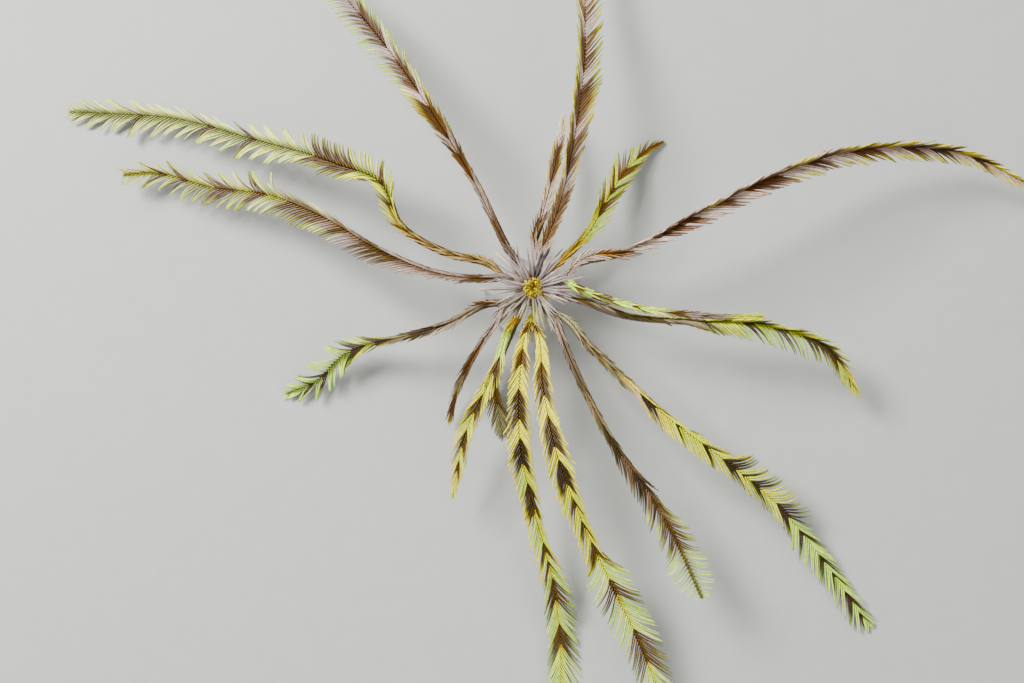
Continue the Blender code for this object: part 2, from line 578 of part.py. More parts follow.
def grow_pinnules(route, name, start, end, crowd, rand, folder):
    """The pinnules of a length of an arm, left and right in turn, each bent clear of its neighbours."""
    made = []
    step = PINNULE_SPACING / 2
    count = int((end - start - 2 * PINNULE_END_ROOM) / step)
    for k in range(count + 1):
        side_sign = 1 if k % 2 else -1
        run = start + PINNULE_END_ROOM + k * step
        lie = lie_at(route, run)
        length = PINNULE_LENGTH * lie.size * rand.uniform(0.92, 1.08)
        length *= np.interp(route.length - run, (0.0, TIP_LENGTH), (TIP_SHARE, 1.0))
        low, high = (lie.right, lie.right_tip) if side_sign > 0 else (lie.left, lie.left_tip)
        angles = [max(LEAST_SPREAD, low + bend * (high - low)) + rand.uniform(-2, 2) for bend in HALF_BENDS]
        spreads = [math.radians(angle) for angle in angles]
        lift = MOUTHWARD.get(route.arm.name, np.interp(low, *zip(*PINNULE_LIFT))) + rand.uniform(-6, 6)
        root = min(PINNULE_ROOT, 0.75 * route.radius(run))
        radii = (root, PINNULE_BEND, 0.0)
        for size, extra in PINNULE_TRIES:
            places = bent(route, run, side_sign, length * size, spreads, math.radians(lift + extra))
            if crowd.is_free(name + "_pinnules", places, radii, (name,)):
                break
        else:
            continue
        crowd.add(name + "_pinnules", places, radii)
        made.append(spike_mesh("pinnule", places, radii[:2], folder))
    return made


def make_arms(routes, crowd, folder):
    rand = random.Random(PINNULE_SEED)
    for route in routes:
        for name, start, end in arm_lengths(route):
            thing = tube(name, *arm_tube(route, start, end), folder)
            pinnules = grow_pinnules(route, name, start, end, crowd, rand, folder)
            join(thing, pinnules, folder)
            paint(thing, (0.35, 0.22, 0.06), 0.55)


def main():
    for thing in list(bpy.data.objects):
        bpy.data.objects.remove(thing)
    folder = bpy.data.collections.new("feather_star")
    bpy.context.scene.collection.children.link(folder)
    routes = [Route(arm) for arm in ARMS]
    crowd = Crowd()
    for ray in RAY_BEARINGS:
        for places, radii in ray_pieces(ray, routes):
            crowd.add("ray_" + ray, places, radii)
    for route in routes:
        for name, start, end in arm_lengths(route):
            crowd.add(name, *arm_tube(route, start, end))
    middle = np.array([CALYX_X, CALYX_Y, DISC_EDGE - 2.2 * MM])
    crowd.add("disc", [middle, middle], (DISC_RADIUS, DISC_RADIUS))
    make_button(folder)
    make_disc(folder)
    make_cirri(crowd, folder)
    for ray in RAY_BEARINGS:
        make_ray(ray, routes, crowd, folder)
    make_arms(routes, crowd, folder)


main()
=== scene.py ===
# %% [markdown]
# # An Indian feather star, life size
# A feather star is an animal of bony rings. Arms grow from five rays round a small disc, each arm is
# a chain of hundreds of short bones, and each bone carries one thin side branch, a pinnule, so that
# the whole arm looks like a feather. This lesson dresses the plain solids with that fine surface.

# %% Load the solids
import json
import math
from collections import namedtuple

import bmesh
import bpy
import numpy as np
from mathutils.kdtree import KDTree
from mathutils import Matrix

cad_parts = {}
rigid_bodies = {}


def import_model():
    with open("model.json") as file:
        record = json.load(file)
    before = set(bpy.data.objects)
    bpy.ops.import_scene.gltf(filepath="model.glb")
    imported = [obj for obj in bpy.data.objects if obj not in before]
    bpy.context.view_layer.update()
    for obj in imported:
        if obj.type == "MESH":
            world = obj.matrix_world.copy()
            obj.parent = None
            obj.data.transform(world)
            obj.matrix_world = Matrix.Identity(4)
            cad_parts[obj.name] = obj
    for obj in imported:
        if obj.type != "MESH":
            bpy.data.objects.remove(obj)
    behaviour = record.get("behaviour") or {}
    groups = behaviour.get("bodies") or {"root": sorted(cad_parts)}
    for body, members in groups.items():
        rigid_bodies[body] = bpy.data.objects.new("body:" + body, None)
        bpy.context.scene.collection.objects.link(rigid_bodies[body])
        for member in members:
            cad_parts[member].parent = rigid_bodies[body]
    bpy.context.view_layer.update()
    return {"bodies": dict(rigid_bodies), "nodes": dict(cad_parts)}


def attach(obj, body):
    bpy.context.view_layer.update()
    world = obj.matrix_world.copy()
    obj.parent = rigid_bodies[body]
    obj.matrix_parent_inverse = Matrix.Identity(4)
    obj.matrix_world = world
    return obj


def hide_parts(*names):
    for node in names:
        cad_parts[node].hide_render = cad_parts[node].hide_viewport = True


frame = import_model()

MM = 0.001
body = next(iter(frame["bodies"]))
print("body", body, "nodes", len(frame["nodes"]))

# %% [markdown]
# ## Camera, floor and light
# The animal was seen from straight above, so a plain camera looks down at the height from which a
# 50 mm lens frames it as the photograph does. A pale matt floor and two large soft lights keep every
# pinnule readable without hard shadows.

# %% Camera
CAMERA_PLACE = (-9.04 * MM, -3.35 * MM, 430.8 * MM)
CAMERA_LENS = 50.0
CAMERA_NEAR = 0.01

camera_data = bpy.data.cameras.new("camera")
camera_data.lens = CAMERA_LENS
camera_data.clip_start = CAMERA_NEAR
camera = bpy.data.objects.new("camera", camera_data)
camera.location = CAMERA_PLACE
bpy.context.scene.collection.objects.link(camera)
bpy.context.scene.camera = camera
print("camera height mm", CAMERA_PLACE[2] / MM)

# %% [markdown]
# Colours are written as sRGB hex values, as a paint chart gives them, and one function turns them to
# the linear values that shaders and colour attributes need. Another adds a shader node with its
# settings and links in one call.

# %% Colour and node helpers
def linear(hex_colour):
    """Turn an sRGB hex colour into linear red, green and blue."""
    parts = np.array([int(hex_colour[k:k + 2], 16) for k in (1, 3, 5)]) / 255
    return np.where(parts <= 0.04045, parts / 12.92, ((parts + 0.055) / 1.055) ** 2.4)


def add_node(tree, kind, settings=None, inputs=None):
    """Add a node; an input given as (node, socket) is linked, any other value is set."""
    node = tree.nodes.new(kind)
    for name, value in (settings or {}).items():
        setattr(node, name, value)
    for name, value in (inputs or {}).items():
        socket = live_socket(node.inputs, name)
        if isinstance(value, tuple) and isinstance(value[0], bpy.types.Node):
            tree.links.new(live_socket(value[0].outputs, value[1]), socket)
        else:
            socket.default_value = value
    return node


def live_socket(sockets, name):
    """The socket of this name that is in use, as some nodes have one for each kind of data."""
    return next(socket for socket in sockets if socket.name == name and socket.enabled)


def new_material(name):
    """A material with an empty node tree and its Principled shader."""
    material = bpy.data.materials.new(name)
    material.use_nodes = True
    return material, material.node_tree, material.node_tree.nodes["Principled BSDF"]


def per_mm(size):
    """The scale of a pattern whose features are this many millimetres across."""
    return 1.0 / (size * MM)


# %% Floor and light
# The card lies just under the feet, so that they don't flicker against it
FLOOR_SIZE = 3.0
FLOOR_LEVEL = -0.05 * MM


def make_floor():
    """A pale matt sheet of card, rolled flat, with a faint grain."""
    material, tree, shader = new_material("matt_card")
    grain = add_node(tree, "ShaderNodeTexNoise", inputs={"Scale": per_mm(1.5), "Detail": 4.0})
    tone = add_node(tree, "ShaderNodeMix", {"data_type": "RGBA"}, {
        "Factor": (grain, "Fac"), "A": (*linear("#b6b6b1"), 1.0), "B": (*linear("#aeaea9"), 1.0)})
    tree.links.new(live_socket(tone.outputs, "Result"), shader.inputs["Base Color"])
    shader.inputs["Roughness"].default_value = 0.9
    bpy.ops.mesh.primitive_plane_add(size=FLOOR_SIZE, location=(0.0, 0.0, FLOOR_LEVEL))
    floor = bpy.context.object
    floor.name = "floor"
    floor.data.materials.append(material)


def add_softbox(name, place, size, power):
    """A square area light that looks at the middle of the floor."""
    data = bpy.data.lights.new(name, "AREA")
    data.size = size
    data.energy = power
    lamp = bpy.data.objects.new(name, data)
    lamp.location = place
    lamp.rotation_euler = (-lamp.location).to_track_quat("-Z", "Y").to_euler()
    bpy.context.scene.collection.objects.link(lamp)


make_floor()
add_softbox("key_softbox", (-0.5, 0.4, 0.6), 0.35, 20.0)
add_softbox("fill_softbox", (0.6, -0.3, 0.6), 0.8, 3.6)

print("lights", [light.name for light in bpy.data.lights])

# %% Daylight all round
world = bpy.data.worlds.new("studio")
world.use_nodes = True
world.node_tree.nodes["Background"].inputs["Color"].default_value = (*linear("#eef0f2"), 1.0)
world.node_tree.nodes["Background"].inputs["Strength"].default_value = 0.55
bpy.context.scene.world = world

# %% [markdown]
# ## Where the arms run
# Each arm is a route of a few points, given as distance and bearing round the disc and height above
# the floor, the same ones that the solids follow. A smooth curve through them is read at even steps.
# A curve object could hold the route too, but plain arrays can be read at any place along it, which
# every bone and every pinnule needs.

# %% Sizes of the body
# The middle of the body seen from above, the rays by their distances and heights in mm and bearings in
# degrees, and the arms by their radii
CALYX = np.array([-2.9, 12.29]) * MM
RAY_INNER = 3.1
RAY_FORK = 5.9
RAY_HEIGHT = 12.9
SECOND_FORK = 8.9
SECOND_FORK_HEIGHT = 14.0
RAY_RADIUS = 1.4 * MM
LIMB_RADIUS = 1.25 * MM
RAY_BEARINGS = {"a": 70, "b": 5, "c": -68, "d": -138, "e": 149}
ARM_START = 13.0 * MM
ARM_ROOT_RADIUS = 1.15 * MM
ARM_TIP_RADIUS = 0.5 * MM
ARM_TAPER = 1.2
ROLL_LENGTH = 12 * MM
CURVE_STEP = 0.5 * MM

# %% Routes of the arms
# Each arm has the fork that it grows from, how far it is rolled on its side in degrees, and its route
# as distance in mm, bearing in degrees and height in mm
Arm = namedtuple("Arm", "name fork roll route")
ARMS = (
    Arm("arm_01", "a1", 0, ((13, 88, 15), (20, 83, 16), (34, 80, 13), (45, 79.5, 9), (52, 79.5, 7))),
    Arm("arm_02", "a1", 25, ((13, 76, 18), (26, 73.5, 24), (45, 75.5, 28), (65, 77.5, 24), (85, 80, 17),
                             (101, 81, 12))),
    Arm("arm_03", "a2", 0, ((13, 44, 15), (22, 44.5, 14), (35, 50.3, 9), (46, 51.7, 4), (53, 50.9, 2),
                            (60, 48.4, 0.4))),
    Arm("arm_04", "b1", 80, ((13, 27, 16), (27, 21, 23), (50, 23.5, 28), (74, 24.5, 27), (95, 23.5, 22),
                             (116, 20.5, 17), (133, 17, 13), (149, 12, 10))),
    Arm("arm_05", "b1", 0, ((12, 1, 18), (20, -9, 24), (34, -11.5, 28), (48, -10, 28), (66, -7.5, 25))),
    Arm("arm_06", "b2", 70, ((13, -14, 14), (26, -17, 15), (46, -12.5, 17), (67, -9.5, 18), (87, -11.5, 14),
                             (101, -18, 10))),
    Arm("arm_07", "c1", 0, ((13, -43, 16), (22, -46, 19.5), (34, -45.5, 22), (55, -44, 21), (75, -42, 16),
                            (97, -41.5, 9), (120, -43, 2.5), (144, -45, 0.4))),
    Arm("arm_08", "c1", 0, ((13, -57, 16), (25, -63, 21), (49, -63, 24), (71, -60.5, 20), (85, -60.5, 17),
                            (102, -61.5, 22))),
    Arm("arm_09", "c2", 10, ((13, -84, 16), (28, -84, 23), (47, -82, 26), (69, -78, 21), (90, -75, 14),
                             (112, -73, 9), (128, -72.5, 7))),
    Arm("arm_10", "c2", -5, ((13, -99, 16), (24, -99, 21), (45, -95, 22), (66, -89.5, 15), (88, -86, 7),
                             (108, -85.5, 0.8), (124, -86, 0.4))),
    Arm("arm_11", "d1", 0, ((13, -121, 17), (25, -115, 20), (46, -115, 17), (66, -111, 12))),
    Arm("arm_12", "d2", 0, ((13, -140, 15), (27, -131, 12), (39, -126, 6), (47, -122, 3))),
    Arm("arm_13", "d2", 0, ((13, -160, 15), (26, -157, 19), (41, -159.5, 14), (53, -161.3, 9),
                            (61, -160.1, 6), (70, -157, 3), (81, -157, 0.4))),
    Arm("arm_14", "e1", 0, ((13, 168, 16), (26, 172, 20), (44, 167, 23), (64, 161.5, 19), (80, 160.5, 14),
                            (101, 162.5, 8), (119, 163, 5), (127, 164.5, 7))),
    Arm("arm_15", "e1", 0, ((13, 152, 16), (27, 158.5, 22), (42, 155, 25), (52, 146, 25), (67, 148, 21),
                            (94, 152, 11), (119, 154.5, 4), (139, 157.5, 0.7), (150, 159, 0.4))),
    Arm("arm_16", "e2", -15, ((13, 123, 17), (33, 119, 23), (58, 120, 26), (76, 121, 23), (91, 122, 19),
                              (115, 124, 14))),
    Arm("arm_17", "d1", 0, ((13, -117, 12), (22, -115, 8), (32, -110.5, 4), (38, -105.5, 2),
                            (45, -101.5, 0.4))),
)


# %% A smooth curve and its frames
def polar(distance, bearing, height):
    """A place, from its distance in mm and bearing round the disc and its height in mm."""
    turn = math.radians(bearing)
    x = CALYX[0] + distance * MM * math.cos(turn)
    y = CALYX[1] + distance * MM * math.sin(turn)
    return np.array([x, y, height * MM])


def unit(vectors):
    """Vectors scaled to length one, along their last axis."""
    return vectors / np.linalg.norm(vectors, axis=-1, keepdims=True)


def run_along(places):
    """The length along a line of places, from the first one to each of them."""
    return np.concatenate([[0.0], np.cumsum(np.linalg.norm(np.diff(places, axis=0), axis=1))])


def smooth_curve(points, step=CURVE_STEP):
    """Even samples of a smooth curve through the points."""
    points = np.array(points)
    chords = np.linalg.norm(np.diff(points, axis=0), axis=1)
    at = run_along(points)
    slopes = np.gradient(points, at, axis=0)
    fine = []
    for k, chord in enumerate(chords):
        t = np.linspace(0.0, 1.0, 40, endpoint=False)[:, None]
        fine.append((2 * t**3 - 3 * t**2 + 1) * points[k] + (t**3 - 2 * t**2 + t) * chord * slopes[k]
                    + (3 * t**2 - 2 * t**3) * points[k + 1] + (t**3 - t**2) * chord * slopes[k + 1])
    fine = np.concatenate(fine + [points[-1:]])
    run = run_along(fine)
    even = np.linspace(0.0, run[-1], max(2, round(run[-1] / step)))
    return read_rows(even, run, fine)


def read_rows(at, run, rows):
    """Rows of three numbers, read between their places along a run."""
    return np.stack([np.interp(at, run, rows[:, axis]) for axis in range(3)], axis=-1)


def read_stops(stops, at):
    """The value at each place, between the stops of a (place, value) list."""
    return np.interp(at, *zip(*stops))


# %% [markdown]
# The two arms of a fork share their first places, so that they leave it as one. At every place an arm
# needs to know which way it runs, where its mouth side is and where its left and right are. Arms that
# lie on their side roll over just after they leave their ray.

# %% The route of each arm
class Route:
    """The axis of an arm, from its ray to its tip, and the directions of its bones."""

    def __init__(self, arm):
        self.arm = arm
        bearing = RAY_BEARINGS[arm.fork[0]]
        pair = [other.route[0][1] for other in ARMS if other.fork == arm.fork]
        places = [polar(RAY_INNER, bearing, RAY_HEIGHT), polar(RAY_FORK, bearing, RAY_HEIGHT),
                  polar(SECOND_FORK, sum(pair) / len(pair), SECOND_FORK_HEIGHT)]
        self.places = smooth_curve(places + [polar(*stop) for stop in arm.route])
        self.run = run_along(self.places)
        self.length = self.run[-1]
        self.away = np.linalg.norm(self.places[:, :2] - CALYX, axis=1)
        self.start = self.run_at(ARM_START)
        self.reach = self.length - self.start
        ahead = read_rows(np.minimum(self.run + MM, self.length), self.run, self.places)
        behind = read_rows(np.maximum(self.run - MM, 0.0), self.run, self.places)
        self.along = unit(ahead - behind)
        up = unit(np.array([0.0, 0.0, 1.0]) - self.along[:, 2:] * self.along)
        right = np.cross(self.along, up)
        roll = math.radians(arm.roll) * np.clip((self.run - self.start) / ROLL_LENGTH, 0.0, 1.0)[:, None]
        self.mouth = np.cos(roll) * up + np.sin(roll) * right
        self.side = np.cos(roll) * right - np.sin(roll) * up

    def run_at(self, distance):
        """The run along the axis where it first is this far from the middle of the disc."""
        return self.run[np.argmax(self.away >= distance)]

    def read(self, runs):
        """Place, direction, mouth side and left-to-right side at each run."""
        return [read_rows(runs, self.run, self.places)] + [
            unit(read_rows(runs, self.run, rows)) for rows in (self.along, self.mouth, self.side)]

    def share(self, runs):
        """How far along the arm each run is, from 0 at its root to 1 at its tip."""
        return np.clip((runs - self.start) / self.reach, 0.0, 1.0)

    def radius(self, runs):
        """The radius of the arm at each run."""
        return ARM_ROOT_RADIUS + (ARM_TIP_RADIUS - ARM_ROOT_RADIUS) * self.share(runs) ** ARM_TAPER

    def distance(self, runs):
        """Millimetres from the middle of the disc, by which the bands are placed."""
        return np.interp(runs, self.run, self.away) / MM


ROUTES = [Route(arm) for arm in ARMS]
print("arms", len(ROUTES), "total length mm", round(sum(route.reach for route in ROUTES) / MM))

# %% [markdown]
# ## The markings
# The living skin is banded: brown bands cross a pale ground, and a pinnule keeps the colour of the
# bone that it grows from out to its yellow tip. The bands are written down arm by arm as they were
# seen, by their distance from the disc, and where an arm is unclear they follow its neighbours. They
# could be painted on an image, but the pinnules are too many and too fine to unwrap for that, so the
# colours are stored at the points of the mesh. One function gives them for the arms and their pinnules
# alike, and the marks run on from one to the other.

# %% Paint chart
PALETTE = {
    "cream": "#f2e850", "lemon": "#f2e600", "lime": "#bccb10", "leaf": "#d0dc58", "greenish": "#c0ee6a",
    "sage": "#b3bd6c", "pale": "#cbdc7c", "straw": "#dccb3c", "butter": "#f0e6a0", "yolk": "#f0d63a",
    "sand": "#d8c07a", "fawn": "#b39a66", "ochre": "#a07a10", "gold": "#c79f0c", "olive": "#6a6412",
    "moss": "#4c4a1c", "drab": "#6f6a48", "bark": "#6e5210", "brown": "#4b3608", "cocoa": "#5e4630",
    "russet": "#64450b", "chestnut": "#4a3114", "umber": "#2f2209", "sienna": "#603c1e",
    "hazel": "#73583c", "mauve": "#82726a", "rose": "#9e8c84", "blush": "#b8a398", "petal": "#d6bcae",
    "dusk": "#a8948e", "frost": "#ffece4", "shell": "#eadfc4", "clay": "#8a6a55", "putty": "#a58a78",
    "taupe": "#a88f86", "ivory": "#d8c9a4",
}


def paint_of(name):
    """The linear colour of a paint in the chart."""
    return linear(PALETTE[name])


# %% [markdown]
# A coat is written in short lines, a distance in mm and a paint in turn, like notes beside a drawing.
# ground is the colour of the pinnules, left is the ground on the arm's left where it differs, and tips
# is the colour of their ends. bands says where the bands begin and end, and marks gives their colour.
# axis tints the roots of the pinnules after a band, root darkens them, and bone is the colour of the
# arm itself. tipped gives how much of the tip's colour is left inside a band, by distance.

# %% The coat of each arm
Coat = namedtuple("Coat", "ground tips marks bands axis left tipped bone root",
                  defaults=("", "", ((0, 0.3),), "", ""))
COATS = {
    "arm_01": Coat(
        ground="0 rose 24 blush 32 mauve 45 blush", tips="0 rose 42 straw 50 lime",
        marks="0 cocoa 28 chestnut", bands="13-20 30-42"),
    "arm_02": Coat(
        ground="0 rose 30 blush 80 blush 90 fawn", tips="0 rose 40 straw 60 lime 82 lime 90 straw",
        marks="0 hazel 30 hazel 36 chestnut 45 hazel 60 chestnut 75 hazel",
        bands="13-27 33-43 46.5-57 62-73 77-82 94-101", tipped=((40, 0.2), (50, 0.6))),
    "arm_03": Coat(
        ground="0 ochre 18 ochre 21 greenish 46 greenish 52 straw",
        left="0 ochre 18 ochre 22 lemon 42 lemon 47 greenish", tips="0 ochre 20 lime",
        marks="0 brown 48 russet", bands="28-32.5 35-38 40.5-46 50-60"),
    "arm_04": Coat(
        ground="0 rose 26 rose 32 petal 96 petal 110 blush",
        left="0 rose 44 blush 48 lemon 53 lemon 57 blush 97 blush 99 lemon 107 lemon 110 blush "
             "126 blush 128 lemon",
        tips="0 rose 30 blush 60 petal 72 petal 74 lemon 80 lemon 82 petal 92 straw 96 lemon 120 lemon",
        marks="0 ochre 30 sienna 110 sienna 120 chestnut",
        bands="20-27.5 36-48 54-59 63.5-75 83-88 97-106 113-118 121.5-127 133-137",
        bone="0 mauve 30 hazel 36 russet 60 chestnut 110 olive"),
    "arm_05": Coat(
        ground="0 rose 9 rose 11 greenish 34 greenish 38 rose 54 mauve 57 lime",
        tips="0 rose 10 lime 34 lime 38 mauve 54 olive 57 lemon", marks="0 brown",
        bands="12.5-15 17.5-23 28-30.5 38-43 47-49"),
    "arm_06": Coat(
        ground="0 rose 42 mauve 50 mauve 55 leaf 62 greenish", left="0 rose 42 mauve 50 lime 60 lemon",
        tips="0 mauve 45 olive 55 leaf 62 greenish 90 leaf 95 lemon", marks="0 brown 78 moss 90 brown",
        bands="11-16 22-37 48-51 60.5-65 70-74 79-91 95.5-97", tipped=((0, 0.3), (76, 0.3), (79, 0.6)),
        axis="0 mauve 50 lime 62 lemon", bone="0 mauve 48 mauve 54 lime 66 lemon 92 olive"),
    "arm_07": Coat(
        ground="0 rose 14 drab 34 drab 38 fawn 42 blush 49 blush 50 straw 58 lime 68 leaf 96 leaf "
               "104 greenish",
        left="0 rose 14 drab 34 drab 38 straw 42 lemon 58 lime 68 leaf 96 leaf 104 greenish",
        tips="0 rose 14 drab 34 drab 38 fawn 42 straw 52 lemon 72 lemon 78 leaf 96 leaf 104 greenish",
        marks="0 cocoa 30 brown 44 umber",
        bands="19-22 24-28 31-33.5 43-49 56.5-58.5 66-69 74-79 81.5-83 85-89 96-101.5 "
              "107-110 117-120 124-126 131-135 138-140.5"),
    "arm_08": Coat(
        ground="0 rose 15 mauve 32 drab 54 cocoa 68 cocoa 72 drab 85 leaf 90 greenish",
        tips="0 rose 15 mauve 30 drab 60 drab 72 leaf 88 greenish",
        marks="0 brown 44 umber 66 umber 70 brown", bands="17-31 43-54 60-66 69-72.5 76-86",
        axis="0 rose 84 mauve 87 russet", root="0 cocoa 84 cocoa 88 brown"),
    "arm_09": Coat(
        ground="0 cream 46 cream 50 lime 76 lime 80 greenish", tips="0 lemon 76 lemon 82 greenish",
        marks="0 russet 34 brown 50 umber 86 brown",
        bands="10-13.8 22-31 37-46 49.5-57 61-63.5 68-71 75-79.5 87-93.5 104.5-115.5",
        tipped=((0, 0.55), (70, 0.8), (84, 0.15)), axis="0 cream 46 cream 50 straw 80 gold"),
    "arm_10": Coat(
        ground="0 cream 42 cream 52 greenish", left="0 cream 42 cream 50 lime 74 lime 80 greenish",
        tips="0 lemon 76 lemon 82 greenish", marks="0 russet 27 brown 43 umber 84 brown",
        bands="10-13.8 18-23 29.5-38.5 43.5-50.5 56-65 74.5-77.5 80-82 85.5-93 100.5-107.5",
        tipped=((0, 0.6), (70, 0.8), (84, 0.3)), axis="0 cream 46 cream 50 straw 80 gold"),
    "arm_11": Coat(
        ground="0 ochre 14 ochre 16 greenish 22 greenish 28 leaf 62 leaf",
        tips="0 ochre 15 greenish 22 lemon", marks="0 brown", bands="22-27 34-40 45-51 54.5-57.5",
        tipped=((0, 0.5),)),
    "arm_12": Coat(
        ground="0 rose 20 mauve 44 olive", tips="0 rose 40 mauve 45 straw", marks="0 chestnut",
        bands="20-32 37-44"),
    "arm_13": Coat(
        ground="0 rose 28 rose 38 mauve 44 olive 54 leaf 60 greenish",
        tips="0 rose 38 olive 46 lime 60 greenish", marks="0 chestnut 42 umber",
        bands="12-16 28-37.5 43.5-49 52-57 66-68 71-73", root="0 cocoa 44 moss"),
    "arm_14": Coat(
        ground="0 rose 38 rose 60 mauve 72 mauve 77 sage",
        tips="0 rose 52 rose 58 leaf 76 pale 88 leaf 102 sage", marks="0 chestnut 60 brown",
        bands="12-18 39.5-50 55-58 63-75 82.5-86 91.5-98 107.5-110 114-117",
        root="0 mauve 25 cocoa 70 cocoa 78 olive"),
    "arm_15": Coat(
        ground="0 rose 13 fawn 34 fawn 42 straw 48 leaf 60 leaf 76 pale",
        tips="0 fawn 38 fawn 46 lime 62 leaf 76 pale", marks="0 brown",
        bands="18-20 23-25 28-30.5 34-36.5 38.5-40.5 45-47 51-53 60-73 92-94 105.5-108 128-129.5",
        root="0 fawn 36 cocoa 44 moss"),
    "arm_16": Coat(
        ground="0 rose 15 mauve 46 mauve 60 blush 100 mauve",
        tips="0 rose 48 olive 54 straw 66 leaf 84 greenish 92 leaf", marks="0 cocoa 34 chestnut",
        bands="13-22 34.5-43 48-59 64-75 80-94 100-108", tipped=((48, 0.2), (58, 0.7))),
    "arm_17": Coat(
        ground="0 mauve 30 drab", tips="0 mauve 30 drab", marks="0 brown", bands="15-22 28-36"),
}

# %% Colour along an arm
BAND_EDGE = 0.35
BAND_GLOW = 2.0
AXIS_FADE = (0.05, 0.3)
ROOT_FADE = (0.1, 0.6)
ROOT_DARK = 0.85
TIP_FADE = (0.45, 0.85)


def read_paint(stops, at):
    """The colour at each distance, between the stops of a line such as 0 rose 24 blush."""
    words = stops.split()
    distances = [float(word) for word in words[::2]]
    paints = np.array([paint_of(word) for word in words[1::2]])
    return np.stack([np.interp(at, distances, paints[:, k]) for k in range(3)], axis=-1)


def smooth_step(low, high, value):
    """Rise smoothly from 0 at the low value to 1 at the high one."""
    t = np.clip((value - low) / (high - low), 0.0, 1.0)
    return t * t * (3 - 2 * t)


def bands_of(coat):
    """The first and last distance of each band, in mm."""
    return [tuple(float(end) for end in band.split("-")) for band in coat.bands.split()]


def band_share(coat, at):
    """How far each distance lies inside a band, from 0 to 1."""
    share = np.zeros_like(at)
    for low, high in bands_of(coat):
        begun = smooth_step(low - BAND_EDGE, low + BAND_EDGE, at)
        ended = smooth_step(high - BAND_EDGE, high + BAND_EDGE, at)
        share = np.maximum(share, begun * (1 - ended))
    return share


def past_band(coat, at):
    """How close each distance follows the end of a band, from 1 at its edge down to 0."""
    close = np.zeros_like(at)
    for _, high in bands_of(coat):
        close = np.maximum(close, np.where(at > high, np.exp(-(at - high) / BAND_GLOW), 0.0))
    return close


def mixed(first, second, share):
    """Two colours mixed, with this share of the second."""
    return first * (1 - share) + second * share


def coat_colour(coat, at, tip, hand=1):
    """The colour at a share (tip) of the pinnule that grows at this distance, left for hand -1."""
    inside = band_share(coat, at)[..., None]
    ground = read_paint(coat.ground, at)
    if coat.left:
        ground = np.where(np.asarray(hand)[..., None] < 0, read_paint(coat.left, at), ground)
    if coat.axis:
        near = (1 - smooth_step(*AXIS_FADE, tip)) * (0.35 + 0.65 * past_band(coat, at))
        ground = mixed(ground, read_paint(coat.axis, at), near[..., None])
    if coat.root:
        dark = ROOT_DARK * (1 - smooth_step(*ROOT_FADE, tip))[..., None]
        ground = mixed(ground, read_paint(coat.root, at), dark)
    plain = mixed(ground, read_paint(coat.marks, at), inside)
    kept = read_stops(coat.tipped, at)[..., None]
    tint = smooth_step(*TIP_FADE, tip)[..., None] * (1 - (1 - kept) * inside)
    return mixed(plain, read_paint(coat.tips, at), tint)


# %% [markdown]
# ## One way to make every tapered form
# Arms, pinnules and cirri are all tapering rods with a changing section. One function takes the rings
# of many rods as arrays and makes one closed mesh of them. That is far quicker than joining objects,
# and it can also lay out each rod as its own small patch of the unwrap.

# %% Many rods as one mesh
# The unwrap: a small patch for each pinnule, and nearly the whole sheet for a rod on its own
PATCH = (0.003, 0.003)
SHEET_CORNER = np.array([[0.01, 0.01]])
SHEET = (0.98, 0.98)


def set_marks(mesh, colour):
    """Store a colour for each point of a mesh."""
    marks = mesh.color_attributes.new("Marks", "FLOAT_COLOR", "POINT")
    solid = np.column_stack([colour, np.ones(len(colour))])
    marks.data.foreach_set("color", solid.astype(np.float32).ravel())


